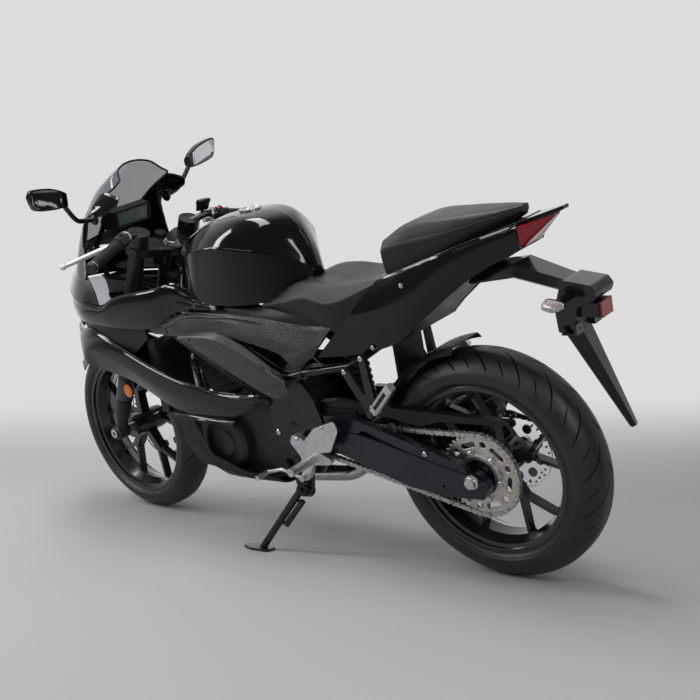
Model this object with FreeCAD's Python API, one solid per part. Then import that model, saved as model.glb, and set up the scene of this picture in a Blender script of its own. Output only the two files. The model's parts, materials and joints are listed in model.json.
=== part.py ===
import FreeCAD, Part
import math
import os

# A faired sport motorcycle of the 300 class, parked on its side stand.
#
# The machine is drawn upright: X runs forward from the rear axle, Y to the
# rider's left, Z up from the ground.  Everything that steers is then turned
# about the steering axis, and the whole machine is leaned onto the stand.

V = FreeCAD.Vector
Placement = FreeCAD.Placement
Rotation = FreeCAD.Rotation

os.makedirs("parts", exist_ok=True)

# ---------------------------------------------------------------------------
# Driving dimensions, in millimetres and degrees
# ---------------------------------------------------------------------------

# chassis geometry
WHEELBASE = 1380.0
DRAWN_WHEELBASE = 1380.0     # wheelbase that the body's stations are written for
RAKE = 25.0                  # steering axis from the vertical
TRAIL = 95.0
LEAN = 15.0                  # parked, towards the stand
PARKED_STEER = -5.2          # bars turned a little to the right
STEER_LOCK = 34.0            # each way from straight ahead
STAND_FOLD = 110.0           # leg travel from parked to folded

# tyres: outer radius, half width, radius of the rounded crown
REAR_TYRE_R, REAR_TYRE_W, REAR_CROWN = 314.0, 71.0, 78.0
FRONT_TYRE_R, FRONT_TYRE_W, FRONT_CROWN = 293.0, 56.0, 60.0
TYRE_WALL = 11.0

# 17 inch rims: bead seat radius, lip radius, half width over the lips
BEAD_R = 216.0
LIP_R = 229.0
REAR_RIM_W = 55.0
FRONT_RIM_W = 42.0
RIM_WALL = 5.0
SPOKE_PAIRS = 5

# axles and running clearance
REAR_AXLE_R = 8.5
FRONT_AXLE_R = 9.0
FRONT_AXLE_BORE_R = 6.0
RUNNING = 0.05
STEM_R = 15.0

# final drive: 520 pitch chain on its two sprockets
CHAIN_PITCH = 15.875
CHAIN_Y = 85.0               # chain line, left of the centre plane
REAR_TEETH, FRONT_TEETH = 43, 14
CHAIN_GAP = 3.3              # half the gap between the side plates
CHAIN_PLATE = 3.4            # inner and outer plate together
CHAIN_TALL = 7.0             # half height of a plate at its pin
CHAIN_WAIST = 5.2            # half height between pins
SPROCKET_THICK = 5.8
OUTPUT_X, OUTPUT_Z = 605.0, 370.0

# brakes
FRONT_DISC_R, REAR_DISC_R = 149.0, 110.0
DISC_THICK = 4.5
FRONT_DISC_Y, REAR_DISC_Y = -64.0, -82.0

# fork
FORK_Y = 97.0
FORK_UPPER_R, FORK_SLIDER_R = 25.0, 18.5
LUG_HALF = 20.0              # axle lug at the foot of each slider
FORK_TOP = 1015.0            # stations are measured along the steering axis
LOWER_CLAMP = 705.0
UPPER_CLAMP = 970.0
CLAMP_THICK = 26.0

# swingarm
PIVOT_X, PIVOT_Z = 512.0, 372.0
ARM_INNER, ARM_OUTER = 100.0, 128.0

# body panels
PANEL = 3.0                  # moulded wall
SCREEN = 3.0
TANK_GAP = 1.5               # painted tank to the seat and panels beside it

# side stand
STAND_PIVOT = V(566, 150, 226)
STAND_FOOT = V(690, 233, 64)

# ---------------------------------------------------------------------------
# Small helpers
# ---------------------------------------------------------------------------


def sind(a):
    return math.sin(math.radians(a))


def cosd(a):
    return math.cos(math.radians(a))


def rounded(points):
    """2-D corner list to edges: (u, v) is sharp, (u, v, r) gets an arc."""
    n = len(points)
    ends = []
    for i in range(n):
        p = points[i]
        c = V(p[0], p[1], 0)
        if len(p) < 3:
            ends.append((c, None, c))
            continue
        a = V(points[i - 1][0], points[i - 1][1], 0) - c
        b = V(points[(i + 1) % n][0], points[(i + 1) % n][1], 0) - c
        half = a.getAngle(b) / 2
        reach = min(p[2] / math.tan(half), 0.45 * a.Length, 0.45 * b.Length)
        radius = reach * math.tan(half)
        a.normalize()
        b.normalize()
        way = a + b
        way.normalize()
        mid = c + way * (radius / math.sin(half) - radius)
        ends.append((c + a * reach, mid, c + b * reach))
    return ends


def loop(points, place):
    """Closed wire from a corner list; place(u, v) gives the 3-D point."""
    ends = rounded(points)
    edges = []
    for i, (start, mid, end) in enumerate(ends):
        if mid is not None:
            edges.append(Part.Arc(*[place(q.x, q.y) for q in (start, mid, end)]).toShape())
        following = ends[(i + 1) % len(ends)][0]
        if (following - end).Length > 1e-6:
            edges.append(Part.makeLine(place(end.x, end.y), place(following.x, following.y)))
    return Part.Wire(edges)


def side_plate(points, y0, y1):
    """Plate cut to a side-view outline of (x, z) corners, from y0 to y1."""
    face = Part.Face(loop(points, lambda x, z: V(x, y0, z)))
    return face.extrude(V(0, y1 - y0, 0))


def loft(wires, ruled=True):
    return Part.makeLoft(wires, True, ruled)


def shifted(path, amount):
    """Open 2-D polyline moved sideways to its right, with mitred corners."""
    out = []
    for i, p in enumerate(path):
        before = (p - path[i - 1]) if i else (path[1] - p)
        after = (path[i + 1] - p) if i + 1 < len(path) else before
        before.normalize()
        after.normalize()
        n = V(before.y, -before.x, 0) + V(after.y, -after.x, 0)
        n.normalize()
        miter = max(0.35, n.dot(V(before.y, -before.x, 0)))
        out.append(p + n * (amount / miter))
    return out


def fore(x):
    """Station x carried forward with the wheelbase: not at all at the pivot, fully at the head."""
    share = min(max((x - PIVOT_X - 130) / 350, 0.0), 1.0)
    return x + (WHEELBASE - DRAWN_WHEELBASE) * share


def chord_place(row):
    """Section plane of a panel row: it holds the Y direction and the chord."""
    x0, z0, x1, z1 = fore(row[0]), row[1], fore(row[2]), row[3]
    length = math.hypot(x1 - x0, z1 - z0)
    ux, uz = (x1 - x0) / length, (z1 - z0) / length
    return length, lambda u, v: V(x0 + ux * u, v, z0 + uz * u)


def side_panel(rows, marks, wall=PANEL):
    """Left-hand moulded panel through slanted sections.

    Each row is (x_top, z_top, x_low, z_low, y, y, ...): the section's chord in
    side view, then how far out the skin stands at each fraction in marks.
    """
    wires = []
    for row in rows:
        length, place = chord_place(row)
        outer = [V(f * length, y, 0) for f, y in zip(marks, row[4:])]
        inner = shifted(outer, wall)
        wires.append(loop([(p.x, p.y) for p in outer + inner[::-1]], place))
    return loft(wires)


def saddle(rows, marks, wall=PANEL):
    """Shell that runs over the top from side to side; returns (shell, filled)."""
    shells, fills = [], []
    for row in rows:
        length, place = chord_place(row)
        left = [V(f * length, y, 0) for f, y in zip(marks, row[4:])]
        right = [V(p.x, -p.y, 0) for p in left]
        outer = left[::-1] + right
        inner = shifted(outer, -wall)
        shells.append(loop([(p.x, p.y) for p in outer + inner[::-1]], place))
        fills.append(loop([(p.x, p.y) for p in outer], place))
    return loft(shells), loft(fills)


def both(shape):
    """The shape and its mirror image across the centre plane."""
    return Part.makeCompound([shape, mirrored(shape)])


def mirrored(shape):
    return shape.mirror(V(0, 0, 0), V(0, 1, 0))


def rod(a, b, r):
    return Part.makeCylinder(r, (b - a).Length, a, b - a)


def pipe(points, r, bend=0.0):
    """Round bar along straight runs joined by tangent bends."""
    pieces = []
    at = points[0]
    for i in range(1, len(points) - 1):
        c = points[i]
        a = points[i - 1] - c
        b = points[i + 1] - c
        half = a.getAngle(b) / 2
        reach = min(bend / math.tan(half), 0.45 * a.Length, 0.45 * b.Length)
        a.normalize()
        b.normalize()
        start, end = c + a * reach, c + b * reach
        radius = reach * math.tan(half)
        way = a + b
        way.normalize()
        middle = c + way * (radius / math.sin(half))
        axis = (start - middle).cross(end - middle)
        pieces.append(rod(at, start, r))
        ring = Part.Face(Part.Wire(Part.makeCircle(r, start, a)))
        pieces.append(ring.revolve(middle, axis, 180 - 2 * math.degrees(half)))
        at = end
    pieces.append(rod(at, points[-1], r))
    return pieces[0].fuse(pieces[1:]) if len(pieces) > 1 else pieces[0]


def turned(profile, about=V(0, 0, 0)):
    """Revolve a (y, r) profile about the wheel axis through a point."""
    wire = loop(profile, lambda y, r: V(about.x, about.y + y, about.z + r))
    return Part.Face(wire).revolve(about, V(0, 1, 0), 360)


def disc(r, y0, y1, centre, bore=0.0):
    """Round plate square to Y."""
    shape = Part.makeCylinder(r, y1 - y0, V(centre.x, y0, centre.z), V(0, 1, 0))
    if bore:
        shape = shape.cut(Part.makeCylinder(bore, y1 - y0 + 2, V(centre.x, y0 - 1, centre.z), V(0, 1, 0)))
    return shape


def block(x0, x1, y0, y1, z0, z1):
    return Part.makeBox(x1 - x0, y1 - y0, z1 - z0, V(x0, y0, z0))


def around(centre, count, make):
    """Copies of one feature about a wheel axis."""
    step = 360.0 / count
    return [make(i).rotate(centre, V(0, 1, 0), step * i) for i in range(count)]


def welded(first, *others):
    shape = first.fuse(list(others))
    return shape.removeSplitter()


def trimmed(shape, neighbours):
    """One piece cut back to its neighbours, without the crumbs beyond them."""
    return max(shape.cut(neighbours).Solids, key=lambda part: part.Volume)


# ---------------------------------------------------------------------------
# Steering geometry
# ---------------------------------------------------------------------------

AXIS_FOOT = V(WHEELBASE + TRAIL, 0, 0)
AXIS_DIR = V(-sind(RAKE), 0, cosd(RAKE))
FORWARD = V(cosd(RAKE), 0, sind(RAKE))
REAR_AXLE = V(0, 0, REAR_TYRE_R)
FRONT_AXLE = V(WHEELBASE, 0, FRONT_TYRE_R)
AXLE_S = (FRONT_AXLE - AXIS_FOOT).dot(AXIS_DIR)
FORK_N = (FRONT_AXLE - AXIS_FOOT).dot(FORWARD)


def fork_point(s, n, y):
    """Point s up the steering axis, n ahead of it, y to the left."""
    return AXIS_FOOT + AXIS_DIR * s + FORWARD * n + V(0, y, 0)


def fork_plate(points, s0, s1):
    """Plate square to the steering axis, cut to (n, y) corners."""
    face = Part.Face(loop(points, lambda n, y: fork_point(s0, n, y)))
    return face.extrude(AXIS_DIR * (s1 - s0))


nodes = {}

# ---------------------------------------------------------------------------
# Wheels
# ---------------------------------------------------------------------------


def tyre(radius, half, crown, rim_half, axle):
    """Carcass of revolution: crown in six flats, bulging sides, beads on the rim."""
    dip = crown - math.sqrt(crown ** 2 - half ** 2)
    shoulder = radius - dip
    seat = rim_half - RIM_WALL + 1.0
    side = [(-seat, BEAD_R), (-seat, LIP_R + 1), (-half + 4, LIP_R + 14)]
    for share in (1.0, 0.68, 0.34):
        y = -half * share
        side.append((y, radius - crown + math.sqrt(crown ** 2 - y ** 2)))
    outer = side + [(-y, r) for y, r in side[::-1]]
    inner = [(seat - 9, BEAD_R), (half - TYRE_WALL, shoulder - 6), (half * 0.4, radius - TYRE_WALL - 6)]
    inner += [(-y, r) for y, r in inner[::-1]]
    return turned(outer + inner, axle)


def rim(half, axle, hub_r, hub_left, hub_right, bore, spoke_y):
    """Cast rim: flanged barrel, hub and forked spokes."""
    w = half
    side = [(-w, LIP_R), (-w + 4, LIP_R), (-w + 4, BEAD_R), (-w + 24, BEAD_R), (-w + 32, BEAD_R - 14)]
    inside = [(w, LIP_R - 5), (w - 6, BEAD_R - 7), (w - 34, BEAD_R - 20)]
    barrel = turned(side + [(-y, r) for y, r in side[::-1]] + inside + [(-y, r) for y, r in inside[::-1]], axle)
    hub = disc(hub_r, hub_right, hub_left, axle)
    reach = BEAD_R - 16
    fork_r = 118.0
    splay = 16.0

    def spoke(i):
        stem = loft([
            loop([(-17, spoke_y - 15), (17, spoke_y - 15), (12, spoke_y + 15), (-12, spoke_y + 15)],
                 lambda x, y: V(axle.x + x, y, axle.z + hub_r - 6)),
            loop([(-15, spoke_y - 13), (15, spoke_y - 13), (11, spoke_y + 13), (-11, spoke_y + 13)],
                 lambda x, y: V(axle.x + x, y, axle.z + fork_r)),
        ], True)
        arms = []
        for sign in (-1, 1):
            tip = reach * sind(splay) * sign
            high = reach * cosd(splay)
            arms.append(loft([
                loop([(-9 + 6 * sign, spoke_y - 12), (9 + 6 * sign, spoke_y - 12),
                      (6 + 6 * sign, spoke_y + 12), (-6 + 6 * sign, spoke_y + 12)],
                     lambda x, y: V(axle.x + x, y, axle.z + fork_r - 10)),
                loop([(tip - 8, spoke_y - 11), (tip + 8, spoke_y - 11), (tip + 6, spoke_y + 11), (tip - 6, spoke_y + 11)],
                     lambda x, y: V(axle.x + x, y, axle.z + high)),
            ], True))
        return stem.fuse(arms)

    shape = barrel.fuse([hub] + around(axle, SPOKE_PAIRS, spoke))
    return shape.cut(disc(bore, hub_right - 1, hub_left + 1, axle))


def brake_disc(r, y, axle, hub_r, bore_r):
    """Ventless rotor: waved outer edge, drilled, on a five-arm carrier."""
    plate = disc(r, y - DISC_THICK / 2, y + DISC_THICK / 2, axle, bore_r)
    windows = around(axle, 10, lambda i: disc(13.0, y - 6, y + 6, axle + V(0, 0, (hub_r + r) / 2 - 2)))
    return plate.cut(windows)


nodes["rear_tyre"] = tyre(REAR_TYRE_R, REAR_TYRE_W, REAR_CROWN, REAR_RIM_W, REAR_AXLE)
nodes["front_tyre"] = tyre(FRONT_TYRE_R, FRONT_TYRE_W, FRONT_CROWN, FRONT_RIM_W, FRONT_AXLE)

SPROCKET_FACE = CHAIN_Y - SPROCKET_THICK / 2
REAR_DISC_FACE = REAR_DISC_Y + DISC_THICK / 2
FRONT_DISC_FACE = FRONT_DISC_Y + DISC_THICK / 2
rear_hub = disc(44.0, REAR_DISC_FACE, SPROCKET_FACE, REAR_AXLE)
carrier = disc(62.0, 52.0, SPROCKET_FACE, REAR_AXLE)
nodes["rear_rim"] = rim(REAR_RIM_W, REAR_AXLE, 46.0, 60.0, -60.0, REAR_AXLE_R + RUNNING, 0.0)
nodes["rear_rim"] = nodes["rear_rim"].fuse([rear_hub, carrier]).cut(
    disc(REAR_AXLE_R + RUNNING, -100, 100, REAR_AXLE))
front_hub = disc(36.0, FRONT_DISC_FACE, 58.0, FRONT_AXLE)
nodes["front_rim"] = rim(FRONT_RIM_W, FRONT_AXLE, 38.0, 50.0, -50.0, FRONT_AXLE_R + RUNNING, 0.0)
nodes["front_rim"] = nodes["front_rim"].fuse(front_hub).cut(
    disc(FRONT_AXLE_R + RUNNING, -100, 100, FRONT_AXLE))
nodes["rear_disc"] = brake_disc(REAR_DISC_R, REAR_DISC_Y, REAR_AXLE, 44.0, 30.0)
nodes["front_disc"] = brake_disc(FRONT_DISC_R, FRONT_DISC_Y, FRONT_AXLE, 60.0, 28.0)


def pitch_radius(teeth):
    return CHAIN_PITCH / 2 / sind(180.0 / teeth)


def sprocket(teeth, centre, thick, bore):
    """Toothed wheel: tapered teeth just inside the chain's side plates."""
    pr = pitch_radius(teeth)
    root, tip = pr - 5.4, pr + 3.6
    points = []
    for i in range(teeth):
        # columns: share of one tooth pitch, radius
        for share, r in ((0.16, root), (0.38, tip), (0.62, tip), (0.84, root)):
            a = 360.0 * (i + share) / teeth
            points.append((centre.x + r * sind(a), centre.z + r * cosd(a)))
    body = side_plate(points, CHAIN_Y - thick / 2, CHAIN_Y + thick / 2)
    return body.cut(disc(bore, CHAIN_Y - 9, CHAIN_Y + 9, centre))


slots = around(REAR_AXLE, 6, lambda i: disc(15.0, CHAIN_Y - 9, CHAIN_Y + 9, REAR_AXLE + V(0, 0, 80)))
nodes["rear_sprocket"] = sprocket(REAR_TEETH, REAR_AXLE, SPROCKET_THICK, 46.0).cut(slots)

# ---------------------------------------------------------------------------
# Chain: two scalloped side-plate loops joined along the free runs
# ---------------------------------------------------------------------------

OUTPUT = V(OUTPUT_X, 0, OUTPUT_Z)
REAR_PR, FRONT_PR = pitch_radius(REAR_TEETH), pitch_radius(FRONT_TEETH)


def chain_path():
    """Pitch line as (x, z, outward normal) at every pin and half link."""
    span = OUTPUT - REAR_AXLE
    dist = span.Length
    tilt = math.degrees(math.atan2(span.z, span.x))
    open_angle = math.degrees(math.acos((REAR_PR - FRONT_PR) / dist))
    run = math.sqrt(dist ** 2 - (REAR_PR - FRONT_PR) ** 2)
    rear_wrap = 360.0 - 2 * open_angle
    front_wrap = 2 * open_angle
    total = 2 * run + math.radians(rear_wrap) * REAR_PR + math.radians(front_wrap) * FRONT_PR
    steps = 4 * round(total / CHAIN_PITCH / 2)
    top = tilt + open_angle
    low = tilt - open_angle
    out = []
    for i in range(steps):
        s = total * i / steps
        if s < run:
            t, n = s / run, top
            a = V(cosd(top), 0, sind(top))
            p = (REAR_AXLE + a * REAR_PR) * (1 - t) + (OUTPUT + a * FRONT_PR) * t
        elif s < run + math.radians(front_wrap) * FRONT_PR:
            n = top - math.degrees((s - run) / FRONT_PR)
            p = OUTPUT + V(cosd(n), 0, sind(n)) * FRONT_PR
        elif s < 2 * run + math.radians(front_wrap) * FRONT_PR:
            t, n = (s - run - math.radians(front_wrap) * FRONT_PR) / run, low
            a = V(cosd(low), 0, sind(low))
            p = (OUTPUT + a * FRONT_PR) * (1 - t) + (REAR_AXLE + a * REAR_PR) * t
        else:
            n = low - math.degrees((s - 2 * run - math.radians(front_wrap) * FRONT_PR) / REAR_PR)
            p = REAR_AXLE + V(cosd(n), 0, sind(n)) * REAR_PR
        out.append((p, V(cosd(n), 0, sind(n)), i % 2))
    return out, top, low, run


path, top_angle, low_angle, free_run = chain_path()


def chain_side(y0, y1, waisted):
    """One row of side plates; where waisted, tall at each pin and slim between."""
    outer, inner = [], []
    for p, n, half in path:
        if waisted or not half:
            outer.append(p + n * (CHAIN_WAIST if half else CHAIN_TALL))
        if not half:
            inner.append(p - n * CHAIN_TALL)
    faces = []
    for points in (outer, inner):
        faces.append(Part.Face(Part.makePolygon([V(q.x, y0, q.z) for q in points + points[:1]])))
    ring = faces[0].cut(faces[1])
    return ring.extrude(V(0, y1 - y0, 0))


def run_bar(angle, start, stop):
    """Pins and rollers of one free run as a single bar between the plates."""
    n = V(cosd(angle), 0, sind(angle))
    a = REAR_AXLE + n * REAR_PR
    b = OUTPUT + n * FRONT_PR
    way = b - a
    way.normalize()
    ends = (a + way * start, b - way * stop)
    corners = [ends[0] + n * 4.5, ends[1] + n * 4.5, ends[1] - n * 4.5, ends[0] - n * 4.5]
    return side_plate([(q.x, q.z) for q in corners], CHAIN_Y - CHAIN_GAP, CHAIN_Y + CHAIN_GAP)


nodes["chain"] = welded(
    chain_side(CHAIN_Y + CHAIN_GAP, CHAIN_Y + CHAIN_GAP + CHAIN_PLATE, True),
    chain_side(CHAIN_Y - CHAIN_GAP - CHAIN_PLATE, CHAIN_Y - CHAIN_GAP, False),
    run_bar(top_angle, 60.0, 34.0), run_bar(low_angle, 60.0, 34.0))

# ---------------------------------------------------------------------------
# Steering assembly
# ---------------------------------------------------------------------------

CAP = UPPER_CLAMP + CLAMP_THICK
stem = rod(fork_point(LOWER_CLAMP, 0, 0), fork_point(CAP + 12, 0, 0), STEM_R)
clamp_outline = [
    (-34, -30, 14), (-34, 30, 14), (14, FORK_Y + 34, 22), (68, FORK_Y + 34, 26),
    (68, FORK_Y - 30, 16), (40, 0, 60), (68, -FORK_Y + 30, 16), (68, -FORK_Y - 34, 26), (14, -FORK_Y - 34, 22),
]
legs = []
for side in (-1, 1):
    y = FORK_Y * side
    upper = rod(fork_point(392, FORK_N, y), fork_point(FORK_TOP, FORK_N, y), FORK_UPPER_R)
    seal = rod(fork_point(368, FORK_N, y), fork_point(392, FORK_N, y), FORK_UPPER_R - 2)
    slider = rod(fork_point(AXLE_S, FORK_N, y), fork_point(368, FORK_N, y), FORK_SLIDER_R)
    lug = disc(24.0, y - LUG_HALF, y + LUG_HALF, FRONT_AXLE)
    shoe = rod(fork_point(AXLE_S, FORK_N, y), fork_point(AXLE_S + 42, FORK_N, y), LUG_HALF - 1)
    leg = welded(upper, seal, slider, lug, shoe)
    legs.append(leg.cut(disc(FRONT_AXLE_R, y - 30, y + 30, FRONT_AXLE)))
nodes["fork_legs"] = Part.makeCompound(legs)
plates = []
for s in (LOWER_CLAMP, UPPER_CLAMP):
    plates.append(fork_plate(clamp_outline, s, s + CLAMP_THICK))
clamps = welded(stem, *plates)
for side in (-1, 1):
    y = FORK_Y * side
    clamps = clamps.cut(rod(fork_point(LOWER_CLAMP - 5, FORK_N, y), fork_point(CAP + 5, FORK_N, y), FORK_UPPER_R))
nodes["steering_clamps"] = clamps

axle_pin = disc(FRONT_AXLE_R, -FORK_Y - 24, FORK_Y + 24, FRONT_AXLE)
axle_nut = disc(15.0, FORK_Y + LUG_HALF, FORK_Y + LUG_HALF + 10, FRONT_AXLE)
spacers = [disc(14.0, 58.3, FORK_Y - LUG_HALF, FRONT_AXLE), disc(14.0, -FORK_Y + LUG_HALF, FRONT_DISC_Y - DISC_THICK / 2 - 0.3, FRONT_AXLE)]
nodes["front_axle"] = welded(axle_pin, axle_nut, *spacers).cut(
    disc(FRONT_AXLE_BORE_R, -FORK_Y - 40, FORK_Y + 40, FRONT_AXLE))

# clip-on bars, swept back and down from above the upper clamp
BAR_R, GRIP_R = 11.0, 16.5
bar_in = V(1052, 150, 958)
bar_out = V(968, 338, 916)
grip_in = bar_in + (bar_out - bar_in) * 0.3
ring = rod(fork_point(CAP, FORK_N, FORK_Y), fork_point(FORK_TOP + 22, FORK_N, FORK_Y), FORK_UPPER_R + 8)
ring = ring.cut(rod(fork_point(CAP - 1, FORK_N, FORK_Y), fork_point(FORK_TOP, FORK_N, FORK_Y), FORK_UPPER_R))
neck = pipe([fork_point(FORK_TOP + 10, FORK_N, FORK_Y), bar_in, bar_out], BAR_R, 30)
pod = rod(bar_in + (grip_in - bar_in) * 0.30, bar_in + (grip_in - bar_in) * 0.95, 19.0)
end_way = bar_out - grip_in
end_way.normalize()
weight = rod(bar_out, bar_out + end_way * 20, 15.0)
bar = welded(ring, neck, pod, weight)
nodes["handlebars"] = both(bar)
grip = rod(grip_in, bar_out, GRIP_R).cut(rod(grip_in - end_way * 5, bar_out + end_way * 5, BAR_R))
nodes["grips"] = both(grip)

# levers hinge on perches ahead of the grips; the brake side carries a reservoir
lever_root = fork_point(1008, 50, 176)
lever_tip = fork_point(978, 57, 344)
perch = welded(rod(bar_in + V(-10, 24, -3), lever_root, 11.0), rod(lever_root - V(0, 0, 9), lever_root + V(0, 0, 9), 12.0))
blade = pipe([lever_root, lever_root + (lever_tip - lever_root) * 0.35 + FORWARD * 6, lever_tip], 5.5, 40)
ball = Part.makeSphere(8.0, lever_tip)
lever = welded(perch, blade, ball)
pot_low = fork_point(1050, 40, -148)
pot = welded(rod(pot_low, pot_low + AXIS_DIR * 38, 16.0), rod(fork_point(1008, 50, -170), pot_low + AXIS_DIR * 4, 7.0))
nodes["levers"] = Part.makeCompound([
    trimmed(lever, [nodes["handlebars"]]), trimmed(welded(mirrored(lever), pot), [nodes["handlebars"]])])

# front fender: a band over the tyre, bolted to the fork
FENDER_R = FRONT_TYRE_R + 12
band = []
for r in (FENDER_R, FENDER_R + PANEL):
    rim_y = 66.0 + (r - FENDER_R)
    band.append([(-rim_y, r - 46), (-rim_y + 14, r - 14), (-30, r), (30, r), (rim_y - 14, r - 14), (rim_y, r - 46)])
fender = Part.Face(loop(band[0] + band[1][::-1], lambda y, r: V(FRONT_AXLE.x, y, FRONT_AXLE.z + r)))
fender = fender.revolve(FRONT_AXLE, V(0, 1, 0), 108)
fender = fender.rotate(FRONT_AXLE, V(0, 1, 0), -62)
EAR_S = 572.0
ears = []
for side in (-1, 1):
    ear = rod(fork_point(EAR_S, FORK_N, 62 * side), fork_point(EAR_S, FORK_N, (FORK_Y - 20) * side), 14)
    ears.append(ear)
nodes["front_fender"] = welded(fender, *ears).cut(nodes["fork_legs"])

# front caliper on the right leg, behind the fork, round the disc
cal = V(FRONT_AXLE.x - 118, 0, FRONT_AXLE.z + 62)
caliper = block(cal.x - 34, cal.x + 34, FRONT_DISC_Y - 26, FRONT_DISC_Y + 10, cal.z - 52, cal.z + 52)
caliper = caliper.rotate(cal, V(0, 1, 0), 28)
gap = disc(FRONT_DISC_R + 3, FRONT_DISC_Y - 5, FRONT_DISC_Y + 5, FRONT_AXLE)
arm = side_plate([(cal.x - 10, cal.z - 50), (cal.x + 50, cal.z - 40), (FRONT_AXLE.x - 10, FRONT_AXLE.z + 60),
                  (FRONT_AXLE.x - 30, FRONT_AXLE.z + 110), (cal.x + 20, cal.z + 40)], FRONT_DISC_Y - 26, FRONT_DISC_Y - 14)
nodes["front_caliper"] = trimmed(welded(caliper, arm), [gap, legs[0]])

# ---------------------------------------------------------------------------
# Frame and subframe
# ---------------------------------------------------------------------------

HEAD_LOW, HEAD_TOP = LOWER_CLAMP + CLAMP_THICK + 6, UPPER_CLAMP - 6
head = rod(fork_point(HEAD_LOW, 0, 0), fork_point(HEAD_TOP, 0, 0), 30.0)
gusset = side_plate([(fore(x), z) for x, z in ((1130, 700), (1080, 830), (1040, 820), (1000, 760), (1040, 690))], -34, 34)
head = welded(head, gusset).cut(rod(fork_point(HEAD_LOW - 1, 0, 0), fork_point(HEAD_TOP + 1, 0, 0), STEM_R + RUNNING))
nodes["frame_head"] = head

TUBE_R = 16.0
top_tube = pipe([V(fore(1060), 40, 765), V(fore(985), 122, 742), V(fore(755), 146, 664), V(560, 136, 552),
                 V(505, 122, 566)], TUBE_R, 70)
low_tube = pipe([V(fore(1075), 40, 715), V(fore(985), 128, 660), V(fore(790), 132, 560), V(fore(650), 120, 470)], 13.0, 60)
strut = rod(V(fore(900), 137, 716), V(fore(880), 131, 606), 10.0)
brace = rod(V(fore(760), 143, 664), V(fore(720), 127, 516), 10.0)
pivot_plate = side_plate([
    (655, 500, 20), (600, 562, 25), (540, 560, 25), (492, 500, 30), (468, 420, 25), (470, 330, 30),
    (500, 272, 20), (600, 262, 20), (612, 330, 30), (660, 372, 20), (660, 425, 30),
], 112, 124)
hole = disc(9.0, 100, 140, V(PIVOT_X, 0, PIVOT_Z))
frame_side = welded(top_tube, low_tube, strut, brace, pivot_plate).cut(hole)
nodes["frame_left"] = frame_side.cut(nodes["frame_head"])
nodes["frame_right"] = mirrored(frame_side).cut(nodes["frame_head"])

rails = []
for side in (-1, 1):
    low_rail = pipe([V(505, 122 * side, 568), V(345, 106 * side, 592), V(250, 96 * side, 650), V(5, 62 * side, 826)], 12.0, 60)
    high_rail = pipe([V(512, 123 * side, 584), V(420, 84 * side, 690), V(230, 78 * side, 760), V(-110, 50 * side, 880)], 12.0, 60)
    rails += [low_rail, high_rail]
ties = [rod(V(x, -y, z), V(x, y, z), 11.0) for x, y, z in ((420, 84, 690), (230, 78, 760), (60, 64, 815), (-100, 50, 876))]
subframe = welded(rails[0], *rails[1:], *ties)
nodes["subframe"] = subframe.cut([nodes["frame_left"], nodes["frame_right"]])

# ---------------------------------------------------------------------------
# Engine: one heavy block with the covers that show
# ---------------------------------------------------------------------------

ENGINE_W = 104.0
case = side_plate([
    (985, 330, 40), (960, 250, 30), (900, 222, 20), (720, 212, 20), (656, 238, 30), (656, 500, 20),
    (760, 505, 20), (800, 470, 20), (900, 475, 30), (975, 420, 30),
], -ENGINE_W, ENGINE_W)
rear_case = side_plate([
    (680, 235, 10), (590, 260, 30), (560, 340, 20), (565, 470, 30), (600, 505, 20), (680, 505, 10),
], -ENGINE_W, 70.0)
cylinder = side_plate([(905, 455), (985, 640, 15), (850, 690, 25), (770, 500)], -92, 92)
fins = []
for i in range(6):
    t = 0.12 + 0.12 * i
    a, b = V(905, 0, 455), V(985, 0, 640)
    c, d = V(770, 0, 500), V(850, 0, 690)
    p, q = a + (b - a) * t, c + (d - c) * t
    p1, q1 = a + (b - a) * (t + 0.03), c + (d - c) * (t + 0.03)
    fins.append(side_plate([(p.x + 8, p.z), (p1.x + 8, p1.z), (q1.x - 8, q1.z), (q.x - 8, q.z)], -98, 98))
crank = V(862, 0, 330)
alternator = turned([(0, 0), (0, 84), (22, 84), (30, 74), (30, 46), (36, 40), (36, 0)], V(crank.x, ENGINE_W, crank.z))
clutch = turned([(0, 0), (0, 92), (-20, 92), (-34, 78), (-34, 0)], V(760, -ENGINE_W, 345))
output = disc(FRONT_PR - 4.0, 68.0, CHAIN_Y + CHAIN_GAP, OUTPUT)
nodes["engine"] = welded(case, rear_case, cylinder, *fins, alternator, clutch, output).cut(nodes["chain"])

sprocket_cover = side_plate([
    (706, 300, 20), (706, 440, 30), (620, 452, 30), (560, 420, 25), (560, 330, 25), (600, 292, 25),
], CHAIN_Y + 15, 111.5)
nodes["sprocket_cover"] = sprocket_cover.cut([nodes["engine"]])

# exhaust: twin headers under the engine to a silencer on the right
headers = [pipe([V(975, y, 610), V(1020, y, 566), V(1026, y * 0.9, 300), V(960, y * 0.7, 178), V(700, -30 + y * 0.2, 178)], 17.0, 50)
           for y in (-45, 45)]
collector = pipe([V(720, -30, 178), V(560, -60, 185), V(470, -150, 235), V(380, -182, 300)], 24.0, 70)
silencer = loft([
    loop([(-42, -40, 30), (42, -40, 30), (42, 44, 30), (-42, 44, 30)], lambda u, v: V(400 - v * 0.42, -188 + u, 292 + v * 0.9)),
    loop([(-56, -58, 40), (56, -58, 40), (56, 62, 40), (-56, 62, 40)], lambda u, v: V(290 - v * 0.42, -200 + u, 345 + v * 0.9)),
    loop([(-50, -56, 36), (50, -56, 36), (50, 58, 36), (-50, 58, 36)], lambda u, v: V(60 - v * 0.42, -205 + u, 440 + v * 0.9)),
])
mouth = rod(V(120, -205, 420), V(20, -205, 465), 24.0)
tip = rod(V(90, -205, 432), V(30, -205, 461), 28.0)
nodes["exhaust"] = welded(*headers, collector, silencer, tip).cut(mouth).cut(nodes["engine"])

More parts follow.
